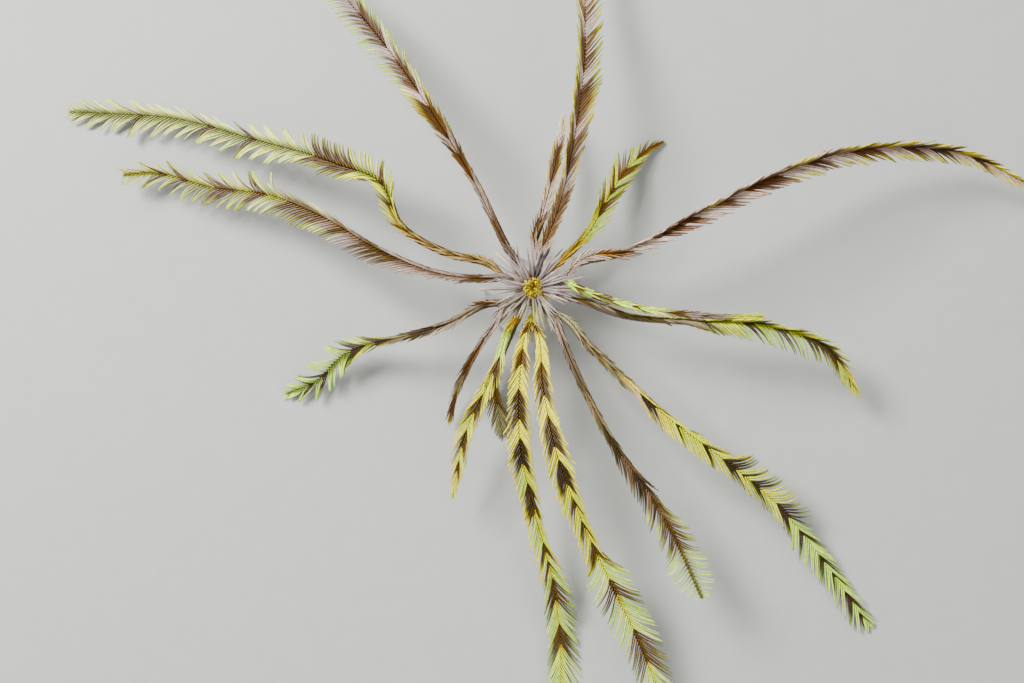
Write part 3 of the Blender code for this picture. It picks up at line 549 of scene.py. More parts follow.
def rods(name, centre, across, over, outline, colour, corner=SHEET_CORNER, patch=SHEET):
    """A mesh of n closed rods of m rings and s sides.

    centre is (n, m, 3), or (n, m, s, 3) where it differs round a ring, across and over are (n, m, 3),
    outline is (n, m, s, 2) in metres along across and over, colour is (n, m, s, 3), and corner is the
    (n, 2) corner of each rod's patch of the unwrap. No point is left below the floor.
    """
    n, m, s, _ = outline.shape
    if centre.ndim == 3:
        centre = centre[:, :, None]
    rings = centre + outline[..., :1] * across[:, :, None] + outline[..., 1:] * over[:, :, None]
    ends = np.concatenate([rings[:, 0].mean(axis=1), rings[:, -1].mean(axis=1)])
    places = np.concatenate([rings.reshape(-1, 3), ends])
    places[:, 2] = np.maximum(places[:, 2], 0.0)
    tints = np.concatenate([colour.reshape(-1, 3), colour[:, 0].mean(axis=1), colour[:, -1].mean(axis=1)])

    i, r, j = np.meshgrid(np.arange(n), np.arange(m - 1), np.arange(s), indexing="ij")
    here, there = (i * m + r) * s, (i * m + r + 1) * s
    after = (j + 1) % s
    quads = np.stack([here + j, here + after, there + after, there + j], axis=-1).reshape(-1, 4)
    quad_u = np.stack([r, r, r + 1, r + 1], axis=-1) / (m - 1)
    quad_v = np.stack([j, j + 1, j + 1, j], axis=-1) / s
    quad_rod = np.repeat(i.reshape(-1), 4)

    i, j = np.meshgrid(np.arange(n), np.arange(s), indexing="ij")
    after = (j + 1) % s
    first, last = i * m * s, (i * m + m - 1) * s
    roots = np.stack([first + after, first + j, n * m * s + i], axis=-1).reshape(-1, 3)
    tips = np.stack([last + j, last + after, n * m * s + n + i], axis=-1).reshape(-1, 3)
    fan_v = np.stack([j, j + 1, j + 0.5], axis=-1).reshape(-1) / s
    fan_rod = np.repeat(i.reshape(-1), 3)

    loops = np.concatenate([quads.reshape(-1), roots.reshape(-1), tips.reshape(-1)])
    u = np.concatenate([quad_u.reshape(-1), np.zeros(len(fan_v)), np.ones(len(fan_v))])
    v = np.concatenate([quad_v.reshape(-1), fan_v, fan_v])
    rod = np.concatenate([quad_rod, fan_rod, fan_rod])
    unwrap = corner[rod] + np.array(patch) * np.stack([u, v], axis=-1)

    fans = len(quads) * 4 + np.arange(len(roots) + len(tips)) * 3
    starts = np.concatenate([np.arange(len(quads)) * 4, fans])
    mesh = bpy.data.meshes.new(name)
    mesh.vertices.add(len(places))
    mesh.vertices.foreach_set("co", places.astype(np.float32).ravel())
    mesh.loops.add(len(loops))
    mesh.loops.foreach_set("vertex_index", loops.astype(np.int32))
    mesh.polygons.add(len(starts))
    mesh.polygons.foreach_set("loop_start", starts.astype(np.int32))
    mesh.update(calc_edges=True)
    mesh.shade_smooth()
    layer = mesh.uv_layers.new(name="OFBake")
    layer.data.foreach_set("uv", unwrap.astype(np.float32).ravel())
    set_marks(mesh, tints)
    return mesh


def add_piece(name, mesh, material, nodes):
    """Add a piece that rides on the body and stands for nodes of the solids."""
    piece = bpy.data.objects.new(name, mesh)
    bpy.context.scene.collection.objects.link(piece)
    piece.data.materials.append(material)
    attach(piece, body)
    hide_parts(*nodes)


def nodes_of(stem):
    """The nodes of the solids that have this name or begin with it."""
    return [node for node in frame["nodes"] if node == stem or node.startswith(stem + "_")]


# %% [markdown]
# ## The living skin
# The bones are calcite, which would be white and matt. A thin wet skin with the pigment covers them.
# It bends light a little more than water does, so its IOR is 1.38, and it gives a soft sheen. The
# shader reads the markings from the mesh, mottles them with noise about a bone long, and adds the
# grain of the calcite under the skin as bump, drawn coarser than it is, so that it shows.

# %% Skin materials
def make_skin(name, mottle_mm, grain_mm, roughness):
    """Pigmented skin over calcite, with mottled colour and a fine grain."""
    material, tree, shader = new_material(name)
    marks = add_node(tree, "ShaderNodeAttribute", {"attribute_name": "Marks"})
    where = add_node(tree, "ShaderNodeTexCoord")
    mottle = add_node(tree, "ShaderNodeTexNoise", inputs={
        "Vector": (where, "Object"), "Scale": per_mm(mottle_mm), "Detail": 3.0, "Roughness": 0.6})
    spread = add_node(tree, "ShaderNodeMapRange", inputs={
        "Value": (mottle, "Fac"), "From Min": 0.3, "From Max": 0.7, "To Min": 0.72, "To Max": 1.18})
    tinted = add_node(tree, "ShaderNodeHueSaturation", inputs={
        "Color": (marks, "Color"), "Value": (spread, "Result"), "Saturation": 1.1})
    grain = add_node(tree, "ShaderNodeTexNoise", inputs={
        "Vector": (where, "Object"), "Scale": per_mm(grain_mm), "Detail": 2.0})
    bump = add_node(tree, "ShaderNodeBump", inputs={
        "Height": (grain, "Fac"), "Strength": 0.35, "Distance": 0.05 * MM})
    tree.links.new(tinted.outputs["Color"], shader.inputs["Base Color"])
    tree.links.new(bump.outputs["Normal"], shader.inputs["Normal"])
    shader.inputs["Roughness"].default_value = roughness
    shader.inputs["IOR"].default_value = 1.38
    return material


arm_skin = make_skin("skin_over_calcite", 0.9, 0.12, 0.48)
pinnule_skin = make_skin("skin_over_fine_calcite", 1.1, 0.15, 0.42)

# %% [markdown]
# ## The arms
# An arm is a chain of wedge-shaped bones, about 0.6 mm long, whose joints lean left and right in
# turn. The mouth side has a groove between two scalloped edges, along which food travels. A curve
# with a bevel would give a smooth hose without bones, so a section is swept in rings instead: four
# for each bone, the ring at the joint drawn in and tilted.

# %% Arm skins
BONE = 0.56 * MM
BONE_RINGS = ((0.0, 0.90), (0.14, 1.0), (0.5, 0.985), (0.86, 1.03))
JOINT_TILT = math.tan(math.radians(15))
ARM_SINK = 0.5 * MM
TIP_CLOSING = (0.9, 0.7, 0.35)
ARM_WIDE = 1.04
ARM_HIGH = 0.96
JOINT_DARK = 0.75
# Painted shade: the floor of the food groove is drawn this much darker
ARM_GROOVE_PAINTED_SHADE = 0.8

# The points of the section in degrees from the mouth side, and its radius there as a share: a groove
# between two edges, the right one of which rises and falls with every bone
SECTION_TURNS = (0, 15, 33, 60, 92, 124, 152, 180, 208, 236, 268, 300, 327, 345)
GROOVE_DEPTH = 0.42
GROOVE_FLOOR = 20
GROOVE_EDGE = 33
SCALLOP = 0.10
SECTION_RADIUS = ((0, 1 - GROOVE_DEPTH), (15, 0.75), (GROOVE_EDGE, 1.04), (60, 1.02), (180, 1.0))


def make_arm_skin(route, seed):
    """The swept skin of one arm, bone by bone."""
    rand = np.random.default_rng(seed)
    first = route.start - ARM_SINK
    bones = round((route.length - first) / BONE)
    step = (route.length - first) / bones
    bone = np.repeat(np.arange(bones), len(BONE_RINGS))
    part = np.tile([ring[0] for ring in BONE_RINGS], bones)
    girth = np.tile([ring[1] for ring in BONE_RINGS], bones)
    runs = first + (bone + part) * step
    place, along, mouth, side = route.read(runs)
    size = route.radius(runs) * girth * (1 + 0.03 * rand.standard_normal(bones)[bone])
    size[-3:] *= TIP_CLOSING

    turns = np.radians(SECTION_TURNS)
    off = np.degrees(np.minimum(turns, 2 * math.pi - turns))
    groove = read_stops(SECTION_RADIUS, off)
    on_edge = np.equal(SECTION_TURNS, GROOVE_EDGE)
    scallop = SCALLOP * on_edge * np.sin(2 * math.pi * (part + bone))[:, None]
    shape = size[:, None] * (groove + scallop)
    outline = np.stack([shape * np.sin(turns) * ARM_WIDE, shape * np.cos(turns) * ARM_HIGH], axis=-1)

    lean = np.where(bone % 2 == 0, 1 - 2 * part, 2 * part - 1) * JOINT_TILT
    shift = lean[:, None] * outline[..., 0]
    centre = place[:, None] + shift[..., None] * along[:, None]
    at = route.distance(runs)
    coat = COATS[route.arm.name]
    colour = read_paint(coat.bone, at) if coat.bone else coat_colour(coat, at, np.zeros_like(at))
    # painted shade on the floor of the food groove
    colour = colour[:, None] * np.where(off < GROOVE_FLOOR, ARM_GROOVE_PAINTED_SHADE, 1.0)[None, :, None]
    colour = colour * np.where(part == 0.0, JOINT_DARK, 1.0)[:, None, None]
    return rods(route.arm.name + "_skin", centre[None], side[None], mouth[None], outline[None], colour[None])


for count, route in enumerate(ROUTES):
    mesh = make_arm_skin(route, 100 + count)
    add_piece(route.arm.name + "_skin", mesh, arm_skin, nodes_of(route.arm.name))
print("arm skins", len(ROUTES))

# %% [markdown]
# ## The pinnules
# Every bone bears one pinnule, left and right in turn, so they stand 1.1 mm apart on each side. Near
# the disc they lie close to the arm. Further out they are longest and bow away from it. Copies of one
# pinnule, set along the arm, would all bend alike. So how they lie is written down arm by arm, and
# each one is drawn by turning its direction a little at every ring and adding up the steps.

# %% How the pinnules lie
# Stops along each arm: distance in mm from the disc, degrees from the arm at the pinnule's root on the
# left and on the right, the same at its tip, and its length as a share of the longest
LIES = {
    "arm_01": ((13, 10, 10, 12, 12, 0.55), (30, 15, 14, 18, 16, 0.7), (42, 13, 10, 18, 12, 0.6),
               (50, 16, 8, 30, 10, 0.45)),
    "arm_02": ((13, 14, 16, 16, 18, 0.6), (32, 16, 22, 16, 24, 0.8), (50, 14, 29, 16, 30, 0.95),
               (75, 17, 36, 26, 36, 0.95), (101, 18, 34, 22, 30, 0.7)),
    "arm_03": ((13, 8, 8, 8, 8, 0.5), (22, 18, 20, 22, 24, 0.8), (30, 20, 22, 26, 26, 0.85),
               (42, 26, 22, 36, 28, 0.85), (48, 20, 18, 32, 22, 0.6), (60, 10, 10, 12, 12, 0.3)),
    "arm_04": ((13, 16, 16, 16, 16, 0.5), (30, 24, 24, 26, 26, 0.8), (60, 30, 30, 34, 34, 0.95),
               (110, 32, 32, 36, 36, 0.95), (149, 24, 24, 24, 24, 0.6)),
    "arm_05": ((12, 8, 8, 10, 10, 0.45), (36, 9, 9, 12, 12, 0.5), (55, 10, 8, 14, 8, 0.5),
               (66, 16, 8, 20, 8, 0.5)),
    "arm_06": ((13, 10, 10, 10, 10, 0.5), (40, 12, 12, 14, 14, 0.6), (50, 24, 34, 28, 40, 0.8),
               (58, 26, 44, 34, 54, 0.85), (78, 30, 48, 40, 56, 0.9), (92, 26, 34, 30, 32, 0.75),
               (101, 14, 16, 16, 16, 0.5)),
    "arm_07": ((13, 8, 8, 8, 8, 0.55), (38, 8, 12, 10, 16, 0.7), (42, 8, 22, 10, 27, 0.8),
               (52, 8, 30, 10, 34, 0.75), (70, 12, 26, 20, 32, 0.8), (76, 38, 22, 85, 30, 0.8),
               (98, 38, 24, 80, 34, 0.75), (104, 14, 36, 20, 46, 0.85), (136, 16, 32, 22, 38, 0.85),
               (144, 12, 20, 14, 24, 0.5)),
    "arm_08": ((13, 7, 7, 8, 8, 0.5), (45, 8, 12, 9, 14, 0.7), (55, 8, 24, 10, 30, 0.8),
               (68, 10, 32, 16, 44, 0.85), (74, 26, 34, 60, 50, 0.8), (84, 30, 36, 70, 60, 0.75),
               (90, 42, 52, 80, 95, 0.75), (102, 50, 56, 70, 80, 0.55)),
    "arm_09": ((10, 16, 16, 18, 18, 0.28), (15, 18, 18, 20, 20, 0.5), (25, 24, 24, 26, 26, 0.7),
               (45, 28, 26, 30, 28, 0.8), (60, 12, 28, 12, 30, 0.85), (74, 14, 28, 16, 32, 0.9),
               (82, 34, 30, 62, 80, 0.95), (90, 38, 34, 55, 55, 0.95), (105, 36, 36, 48, 44, 1.0),
               (128, 30, 30, 34, 34, 0.8)),
    "arm_10": ((10, 18, 18, 20, 20, 0.28), (15, 22, 22, 24, 24, 0.5), (22, 30, 30, 32, 32, 0.6),
               (45, 27, 30, 28, 34, 0.7), (60, 14, 28, 12, 30, 0.76), (74, 14, 24, 16, 28, 0.9),
               (84, 24, 22, 42, 26, 0.95), (105, 28, 26, 40, 30, 1.0), (124, 30, 28, 40, 30, 0.9)),
    "arm_11": ((12, 8, 8, 8, 8, 0.5), (20, 16, 15, 20, 18, 0.7), (50, 17, 15, 20, 18, 0.75),
               (66, 8, 8, 8, 8, 0.4)),
    "arm_12": ((12, 8, 8, 8, 8, 0.6), (40, 9, 9, 9, 9, 0.7), (47, 8, 8, 10, 10, 0.5)),
    "arm_13": ((13, 8, 8, 8, 8, 0.55), (40, 10, 8, 12, 8, 0.7), (50, 24, 24, 34, 36, 0.75),
               (60, 34, 34, 56, 75, 0.75), (70, 30, 30, 44, 50, 0.7), (81, 24, 24, 28, 28, 0.5)),
    "arm_14": ((13, 8, 8, 10, 8, 0.5), (28, 14, 7, 24, 7, 0.6), (36, 32, 7, 50, 7, 0.75),
               (60, 40, 9, 62, 10, 0.8), (75, 38, 14, 64, 24, 0.85), (79, 38, 36, 66, 95, 0.85),
               (86, 38, 24, 68, 60, 0.85), (100, 36, 16, 66, 28, 0.82), (127, 32, 20, 44, 28, 0.7)),
    "arm_15": ((13, 8, 8, 8, 8, 0.5), (38, 10, 8, 14, 10, 0.6), (46, 22, 12, 40, 20, 0.65),
               (54, 28, 34, 50, 75, 0.7), (72, 26, 40, 44, 85, 0.75), (80, 32, 24, 60, 58, 0.85),
               (95, 36, 18, 66, 28, 0.9), (125, 35, 20, 60, 30, 0.88), (150, 28, 24, 38, 32, 0.65)),
    "arm_16": ((13, 7, 7, 8, 8, 0.5), (35, 10, 10, 14, 12, 0.65), (52, 16, 14, 30, 18, 0.8),
               (65, 24, 16, 62, 24, 0.9), (90, 26, 18, 75, 30, 0.9), (115, 24, 18, 60, 24, 0.7)),
    "arm_17": ((12, 8, 8, 8, 8, 0.6), (36, 22, 22, 28, 28, 0.7), (45, 24, 24, 28, 28, 0.5)),
}

# How far the pinnules rise towards the mouth side at their root and tip, in degrees, and how far round
# the arm both rows are rooted on two arms that lie on their side
LIFT = 14
Turned = namedtuple("Turned", "root left left_tip right right_tip")
TURNED = {"arm_04": Turned(-112, 20, 0, 125, 60), "arm_06": Turned(-108, 24, 6, 122, 58)}
UPRIGHT = Turned(0, LIFT, LIFT, LIFT, LIFT)
TURN_RUN = (9 * MM, 22 * MM)
TIP_DROOP = ((0, 0), (0.5, -8), (1, -14))
ROOT_ASIDE = 8
WAVE = 2.0
WAVE_LENGTH = 7 * MM


def angles_of(name, at, runs, hand, seed, rand):
    """Degrees from the arm at the root and tip of each pinnule, and its share of the longest."""
    stops = np.array(LIES[name])
    left, right, left_tip, right_tip, size = (np.interp(at, stops[:, 0], stops[:, k]) for k in range(1, 6))
    wave = WAVE * np.sin(runs / WAVE_LENGTH + seed)
    root = np.where(hand < 0, left, right) + wave + rand.normal(0, 1.5, len(at))
    tip = np.where(hand < 0, left_tip, right_tip) + wave + rand.normal(0, 3, len(at))
    return root, tip, size


def lifts_of(turned, begun, hand, share, rand):
    """Degrees that each pinnule rises towards the mouth side, at its root and at its tip."""
    root = begun * np.where(hand < 0, turned.left, turned.right) + rand.normal(0, 4, len(hand))
    tip = begun * np.where(hand < 0, turned.left_tip, turned.right_tip) + rand.normal(0, 6, len(hand))
    return root, tip + read_stops(TIP_DROOP, share)


# %% [markdown]
# Neighbouring pinnules cling together by twos to fours, and on three arms the outer ones part into
# clear tufts like claws. Each pinnule is first drawn on its own, and its outer part is then drawn
# towards the middle one of its tuft. Those that would dip into the floor are bent to lie on it.

# %% Tufts and the floor
# How strongly the pinnules cling by share of the arm, from which distance in mm they part into clear
# tufts, and one more than the most pinnules in a tuft
CLING = ((0, 0.05), (0.35, 0.2), (0.7, 0.5), (1, 0.55))
TUFTED_FROM = {"arm_13": 55, "arm_14": 74, "arm_15": 76}
TUFT_PULL = 0.92
TUFT_SPREAD = 8
LOOSE_TUFT = 5
CLEAR_TUFT = 7
FLOOR_ROOM = 0.35 * MM
FLOOR_SOFT = 0.4 * MM


def tufts(hand, most, rand):
    """Number the pinnules by tuft: neighbours on one side of the arm, two or more at a time."""
    tuft = np.zeros(len(hand), dtype=int)
    number = 0
    for side in (-1, 1):
        members = np.nonzero(hand == side)[0]
        while len(members):
            count = rand.integers(2, most[members[0]])
            tuft[members[:count]] = number
            members = members[count:]
            number += 1
    return tuft


def gathered(centre, tuft, pull):
    """Draw the outer part of each pinnule towards the middle one of its tuft."""
    weight = smooth_step(0.1, 0.9, np.linspace(0.0, 1.0, centre.shape[1]))[:, None]
    moved = centre.copy()
    for number in range(tuft.max() + 1):
        members = np.nonzero(tuft == number)[0]
        lead = members[len(members) // 2]
        for one in members:
            goal = centre[lead] + 0.3 * (centre[one, 0] - centre[lead, 0])
            moved[one] += pull[one] * weight * (goal - centre[one])
    return moved


def soft_floor(centre):
    """Bend rods that would dip into the floor so that they lie on it."""
    rise = (centre[..., 2] - FLOOR_ROOM) / FLOOR_SOFT
    centre[..., 2] = FLOOR_ROOM + FLOOR_SOFT * np.logaddexp(0.0, rise)
    return centre


# %% [markdown]
# A pinnule is a jointed rod of six sides, thinner towards the end of the arm, and no wider than its
# share of the arm, so that neighbours lie side by side. Its crest catches the light and looks pale,
# while its flanks lie in shade and look brown. Both are painted into the colour, as a painted highlight
# along the top and painted shade on the flanks and underside, because that difference between
# neighbours is what makes the arm read as a feather.

# %% Section and colour of a pinnule
PINNULE_RINGS = 26
PINNULE_SIDES = 6
PINNULE_ROOT = 0.42 * MM
PINNULE_THIN = ((0, 1), (0.4, 1), (0.6, 0.74), (0.85, 0.64), (1, 0.5))
PINNULE_TAPER = ((0, 1), (0.1, 0.98), (0.5, 0.88), (0.8, 0.7), (0.95, 0.42), (1, 0.1))
PINNULE_STOPS = np.linspace(0.0, 1.0, PINNULE_RINGS)
PINNULE_TURNS = 2 * math.pi * (np.arange(PINNULE_SIDES) + 0.5) / PINNULE_SIDES
PINNULE_JOINT = (1.06, 0.94)
PINNULE_WIDE = 0.95
PINNULE_NARROW = 0.55
PINNULE_HIGH = 1.1
COLOUR_SPREAD = 0.18

# Painted light: the share of the red, green and blue by height on the section, a painted highlight
# along the top of each pinnule and painted shade on its flanks and underside
CREST_PAINTED_LIGHT = ((-1, 0.3, 0.26, 0.18), (-0.5, 0.32, 0.28, 0.2), (0.5, 0.62, 0.57, 0.44), (1, 1.5, 1.5, 1.46))


def pinnule_outline(share, room):
    """The sections of the pinnules, jointed, tapered and as wide as the room for each allows."""
    joint = np.where(np.arange(PINNULE_RINGS) % 2 == 0, *PINNULE_JOINT)
    thick = PINNULE_ROOT * read_stops(PINNULE_TAPER, PINNULE_STOPS) * joint
    thick = thick[None] * read_stops(PINNULE_THIN, share)[:, None]
    wide = np.minimum(PINNULE_WIDE * thick, np.maximum(room, PINNULE_NARROW * thick))
    across = wide[..., None] * np.cos(PINNULE_TURNS)
    over = PINNULE_HIGH * thick[..., None] * np.sin(PINNULE_TURNS)
    return np.stack([across, over], axis=-1)


def pinnule_colour(name, at, hand, rand):
    """The colour of every point of the pinnules: the marks of the arm, with a painted highlight along the
    top and painted shade on the flanks.
    """
    shape = (len(at), PINNULE_RINGS)
    root_at = np.broadcast_to((at + rand.normal(0, 0.25, len(at)))[:, None], shape)
    tip = np.broadcast_to(PINNULE_STOPS, shape)
    colour = coat_colour(COATS[name], root_at, tip, np.broadcast_to(hand[:, None], shape))
    colour = colour * (1 + COLOUR_SPREAD * rand.standard_normal(len(at)))[:, None, None]
    # painted highlight along the top of each pinnule, painted shade on its flanks and underside
    height, *shares = zip(*CREST_PAINTED_LIGHT)
    crest_painted_light = np.stack([np.interp(np.sin(PINNULE_TURNS), height, one) for one in shares], axis=-1)
    return np.clip(colour[:, :, None] * crest_painted_light, 0, 1)


# %% All the pinnules of an arm
# The first pinnules grow this far from the middle of the disc, in mm, and the last ones of an arm
# shorten over a length to a share of theirs
PINNULE_LENGTH = 10.0 * MM
PINNULE_FIRST = 9.5
PINNULE_FIRST_OF = {"arm_09": 7.0, "arm_10": 7.0}
TIP_LENGTH = 7.0 * MM
TIP_SHARE = 0.35
ROOM_SHARE = 0.55
SWAY = 2.5
BOW = 1.4
LENGTH_SPREAD = 0.05
ROOT_RADIUS = 0.9


def drawn_rods(start, steer, lengths, rings):
    """Follow a direction that steer(t) gives at each share t, from start, and return the centre line."""
    t = np.linspace(0.0, 1.0, rings)
    ways = np.stack([steer(share) for share in t], axis=1)
    steps = (ways[:, 1:] + ways[:, :-1]) * 0.5 * (lengths / (rings - 1))[:, None, None]
    centre = np.concatenate([start[:, None], start[:, None] + np.cumsum(steps, axis=1)], axis=1)
    return centre, unit(ways)


def make_pinnules(route, seed):
    """All the pinnules of an arm as one mesh."""
    rand = np.random.default_rng(seed)
    name = route.arm.name
    first = route.run_at(PINNULE_FIRST_OF.get(name, PINNULE_FIRST) * MM)
    runs = np.arange(first, route.length - 0.5 * MM, BONE)
    n = len(runs)
    hand = np.where(np.arange(n) % 2 == 0, 1.0, -1.0)
    runs = runs + rand.uniform(-0.1, 0.1, n) * BONE
    share = route.share(runs)
    at = route.distance(runs)
    turned = TURNED.get(name, UPRIGHT)
    begun = smooth_step(*TURN_RUN, runs)
    root_angle, tip_angle, size = angles_of(name, at, runs, hand, seed, rand)
    root_lift, tip_lift = lifts_of(turned, begun, hand, share, rand)
    sway = rand.normal(0, SWAY, n)
    parted = at > TUFTED_FROM.get(name, math.inf)
    tuft = tufts(hand, np.where(parted, CLEAR_TUFT, LOOSE_TUFT), rand)
    tip_angle = tip_angle + np.where(parted, TUFT_SPREAD * rand.standard_normal(n)[tuft], 0.0)
    lengths = PINNULE_LENGTH * size * (1 + LENGTH_SPREAD * rand.standard_normal(n))
    lengths = lengths * np.interp(route.length - runs, (0.0, TIP_LENGTH), (TIP_SHARE, 1.0))
    place, along, mouth, side = route.read(runs)
    side = side * hand[:, None]

    def spread_at(t):
        return np.radians(root_angle + (tip_angle - root_angle) * t**BOW + sway * math.sin(math.pi * t))

    def steer(t):
        spread = spread_at(t)
        lift = np.radians(root_lift + (tip_lift - root_lift) * t)
        out = np.cos(lift)[:, None] * side + np.sin(lift)[:, None] * mouth
        return np.cos(spread)[:, None] * along + np.sin(spread)[:, None] * out

    root_turn = np.radians(begun * turned.root + ROOT_ASIDE * hand)[:, None]
    edge = np.cos(root_turn) * mouth + np.sin(root_turn) * side * hand[:, None]
    start = place + ROOT_RADIUS * route.radius(runs)[:, None] * edge
    centre, _ = drawn_rods(start, steer, lengths, PINNULE_RINGS)
    pull = np.where(parted, TUFT_PULL, read_stops(CLING, share))
    centre = soft_floor(gathered(centre, tuft, pull))
    ways = unit(np.gradient(centre, axis=1))
    over = unit(edge[:, None] - np.sum(edge[:, None] * ways, axis=-1, keepdims=True) * ways)
    room = ROOM_SHARE * 2 * BONE * np.stack([np.sin(spread_at(t)) for t in PINNULE_STOPS], axis=1)
    outline = pinnule_outline(share, room)
    colour = pinnule_colour(name, at, hand, rand)
    corner = np.column_stack([0.01 + 0.97 * runs / route.length, np.where(hand < 0, 0.3, 0.7)])
    return rods(name + "_pinnules", centre, np.cross(over, ways), over, outline, colour, corner, PATCH)


pinnule_total = 0
for count, route in enumerate(ROUTES):
    mesh = make_pinnules(route, 200 + count)
    pinnule_total += len(mesh.vertices) // (PINNULE_RINGS * PINNULE_SIDES + 2)
    add_piece(route.arm.name + "_pinnules", mesh, pinnule_skin, nodes_of(route.arm.name))
print("pinnules", pinnule_total)

# %% [markdown]
# ## The rays and the cup
# Five rays leave the cup under the disc and fork twice into the arms. A fork has no clean section to
# sweep, and tubes joined by a boolean would meet in a hard crease. So rows of balls along the rays are
# run together with a fine voxel remesh and smoothed, which gives soft webs of flesh in the forks.

# %% The plain form of the rays
VOXEL = 0.15 * MM
SMOOTHING = 5
RAY_END = 14.4 * MM
CUP_LOW = 11.6

# The soft web between the rays, as balls (distance, height, radius) in mm halfway between two rays,
# and all the nodes that the solids have for the rays
RAY_ORDER = sorted(bearing % 360 for bearing in RAY_BEARINGS.values())
WEB_BALLS = ((2.4, 12.6, 1.7), (3.7, 12.8, 1.35), (4.7, 12.8, 0.95))
RAY_NODES = [node for ray in RAY_BEARINGS for node in nodes_of("ray_" + ray)]


def add_balls(shape, places, radii):
    """Add a round tube to a bmesh, as a row of overlapping balls."""
    curve = smooth_curve(places, 0.3 * MM) if len(places) > 2 else np.linspace(places[0], places[1], 8)
    sizes = np.interp(np.linspace(0, 1, len(curve)), np.linspace(0, 1, len(radii)), radii)
    for place, size in zip(curve, sizes):
        ball = bmesh.ops.create_icosphere(shape, subdivisions=2, radius=size)
        bmesh.ops.translate(shape, verts=ball["verts"], vec=place)


def ray_tubes(ray):
    """The places and radii of a ray's trunk, its two limbs and the roots of its arms."""
    bearing = RAY_BEARINGS[ray]
    fork = polar(RAY_FORK, bearing, RAY_HEIGHT)
    tubes = [([polar(1.5, bearing, CUP_LOW + 0.6), polar(RAY_INNER, bearing, RAY_HEIGHT - 0.2), fork],
              (1.5 * MM, RAY_RADIUS * 1.12, RAY_RADIUS * 1.05))]
    members = [route for route in ROUTES if route.arm.fork[0] == ray]
    for name in sorted({route.arm.fork for route in members}):
        limb = [route for route in members if route.arm.fork == name]
        second = limb[0].places[np.argmax(limb[0].away >= SECOND_FORK * MM)]
        tubes.append(([fork, second], (RAY_RADIUS, LIMB_RADIUS * 1.06)))
        for route in limb:
            runs = np.linspace(route.run_at(SECOND_FORK * MM), route.run_at(RAY_END), 6)
            radii = np.interp(runs, (runs[0], route.start), (LIMB_RADIUS * 1.02, ARM_ROOT_RADIUS * 1.03))
            tubes.append((route.read(runs)[0], radii))
    return tubes


def remeshed(name, shape):
    """The outer skin of overlapping closed forms, as one even mesh."""
    mesh = bpy.data.meshes.new("forms")
    shape.to_mesh(mesh)
    shape.free()
    thing = bpy.data.objects.new("forms", mesh)
    bpy.context.scene.collection.objects.link(thing)
    remesh = thing.modifiers.new("remesh", "REMESH")
    remesh.mode = "VOXEL"
    remesh.voxel_size = VOXEL
    smooth = thing.modifiers.new("smooth", "SMOOTH")
    smooth.factor = 0.5
    smooth.iterations = SMOOTHING
    bpy.context.view_layer.update()
    made = bpy.data.meshes.new_from_object(thing.evaluated_get(bpy.context.evaluated_depsgraph_get()))
    bpy.data.objects.remove(thing)
    made.name = name
    return made


def plain_rays():
    """The cup, the rays and the roots of the arms, before their joints are cut."""
    shape = bmesh.new()
    for ray in RAY_BEARINGS:
        for places, radii in ray_tubes(ray):
            add_balls(shape, places, radii)
    for first, second in zip(RAY_ORDER, RAY_ORDER[1:] + RAY_ORDER[:1]):
        middle = first + ((second - first) % 360) / 2
        for distance, height, radius in WEB_BALLS:
            ball = bmesh.ops.create_icosphere(shape, subdivisions=3, radius=radius * MM)
            bmesh.ops.translate(shape, verts=ball["verts"], vec=polar(distance, middle, height))
    return remeshed("ray_skin", shape)


ray_skin = plain_rays()
print("ray skin points", len(ray_skin.vertices))

# %% [markdown]
# Each point of that form now looks up the nearest place on the axis of an arm, and so learns how far
# along it lies and on which side. It is drawn in where two bones meet, which cuts the joints, and
# along the mouth side, which cuts the food groove. That is quicker and softer than a boolean for each
# joint. Its colour is that of the same arm.

# %% Joints, groove and colour of the rays
RAY_JOINTS = (0.9, 1.9, 3.7, 4.8, 7.0, 7.9, 8.7, 9.4, 10.1, 10.8, 11.45, 12.1, 12.75, 13.4)
JOINT_DEPTH = 0.13 * MM
JOINT_WIDTH = 0.14 * MM
JOINT_SHADE = 0.35
FOOD_GROOVE = 0.42 * MM
FOOD_GROOVE_SPREAD = 20
FOOD_GROOVE_START = (0.5, 2.0)
BONE_REACH = (2.1 * MM, 1.7 * MM)


def points_of(mesh):
    """The places of all the points of a mesh, as an array."""
    places = np.empty(len(mesh.vertices) * 3, dtype=np.float32)
    mesh.vertices.foreach_get("co", places)
    return places.reshape(-1, 3).astype(float)


def nearest_axis(places):
    """For each place, the nearest place, direction and mouth side of an axis, its run and its arm."""
    axis = [route.read(route.run[route.run <= route.run_at(RAY_END) + MM]) for route in ROUTES]
    lines = [np.concatenate([rows[k] for rows in axis]) for k in range(4)]
    runs = np.concatenate([route.run[:len(rows[0])] for route, rows in zip(ROUTES, axis)])
    owner = np.concatenate([np.full(len(rows[0]), k) for k, rows in enumerate(axis)])
    tree = KDTree(len(lines[0]))
    for index, place in enumerate(lines[0]):
        tree.insert(place, index)
    tree.balance()
    near = np.array([tree.find(place)[1] for place in places])
    return lines[0][near], lines[1][near], lines[2][near], runs[near], owner[near]


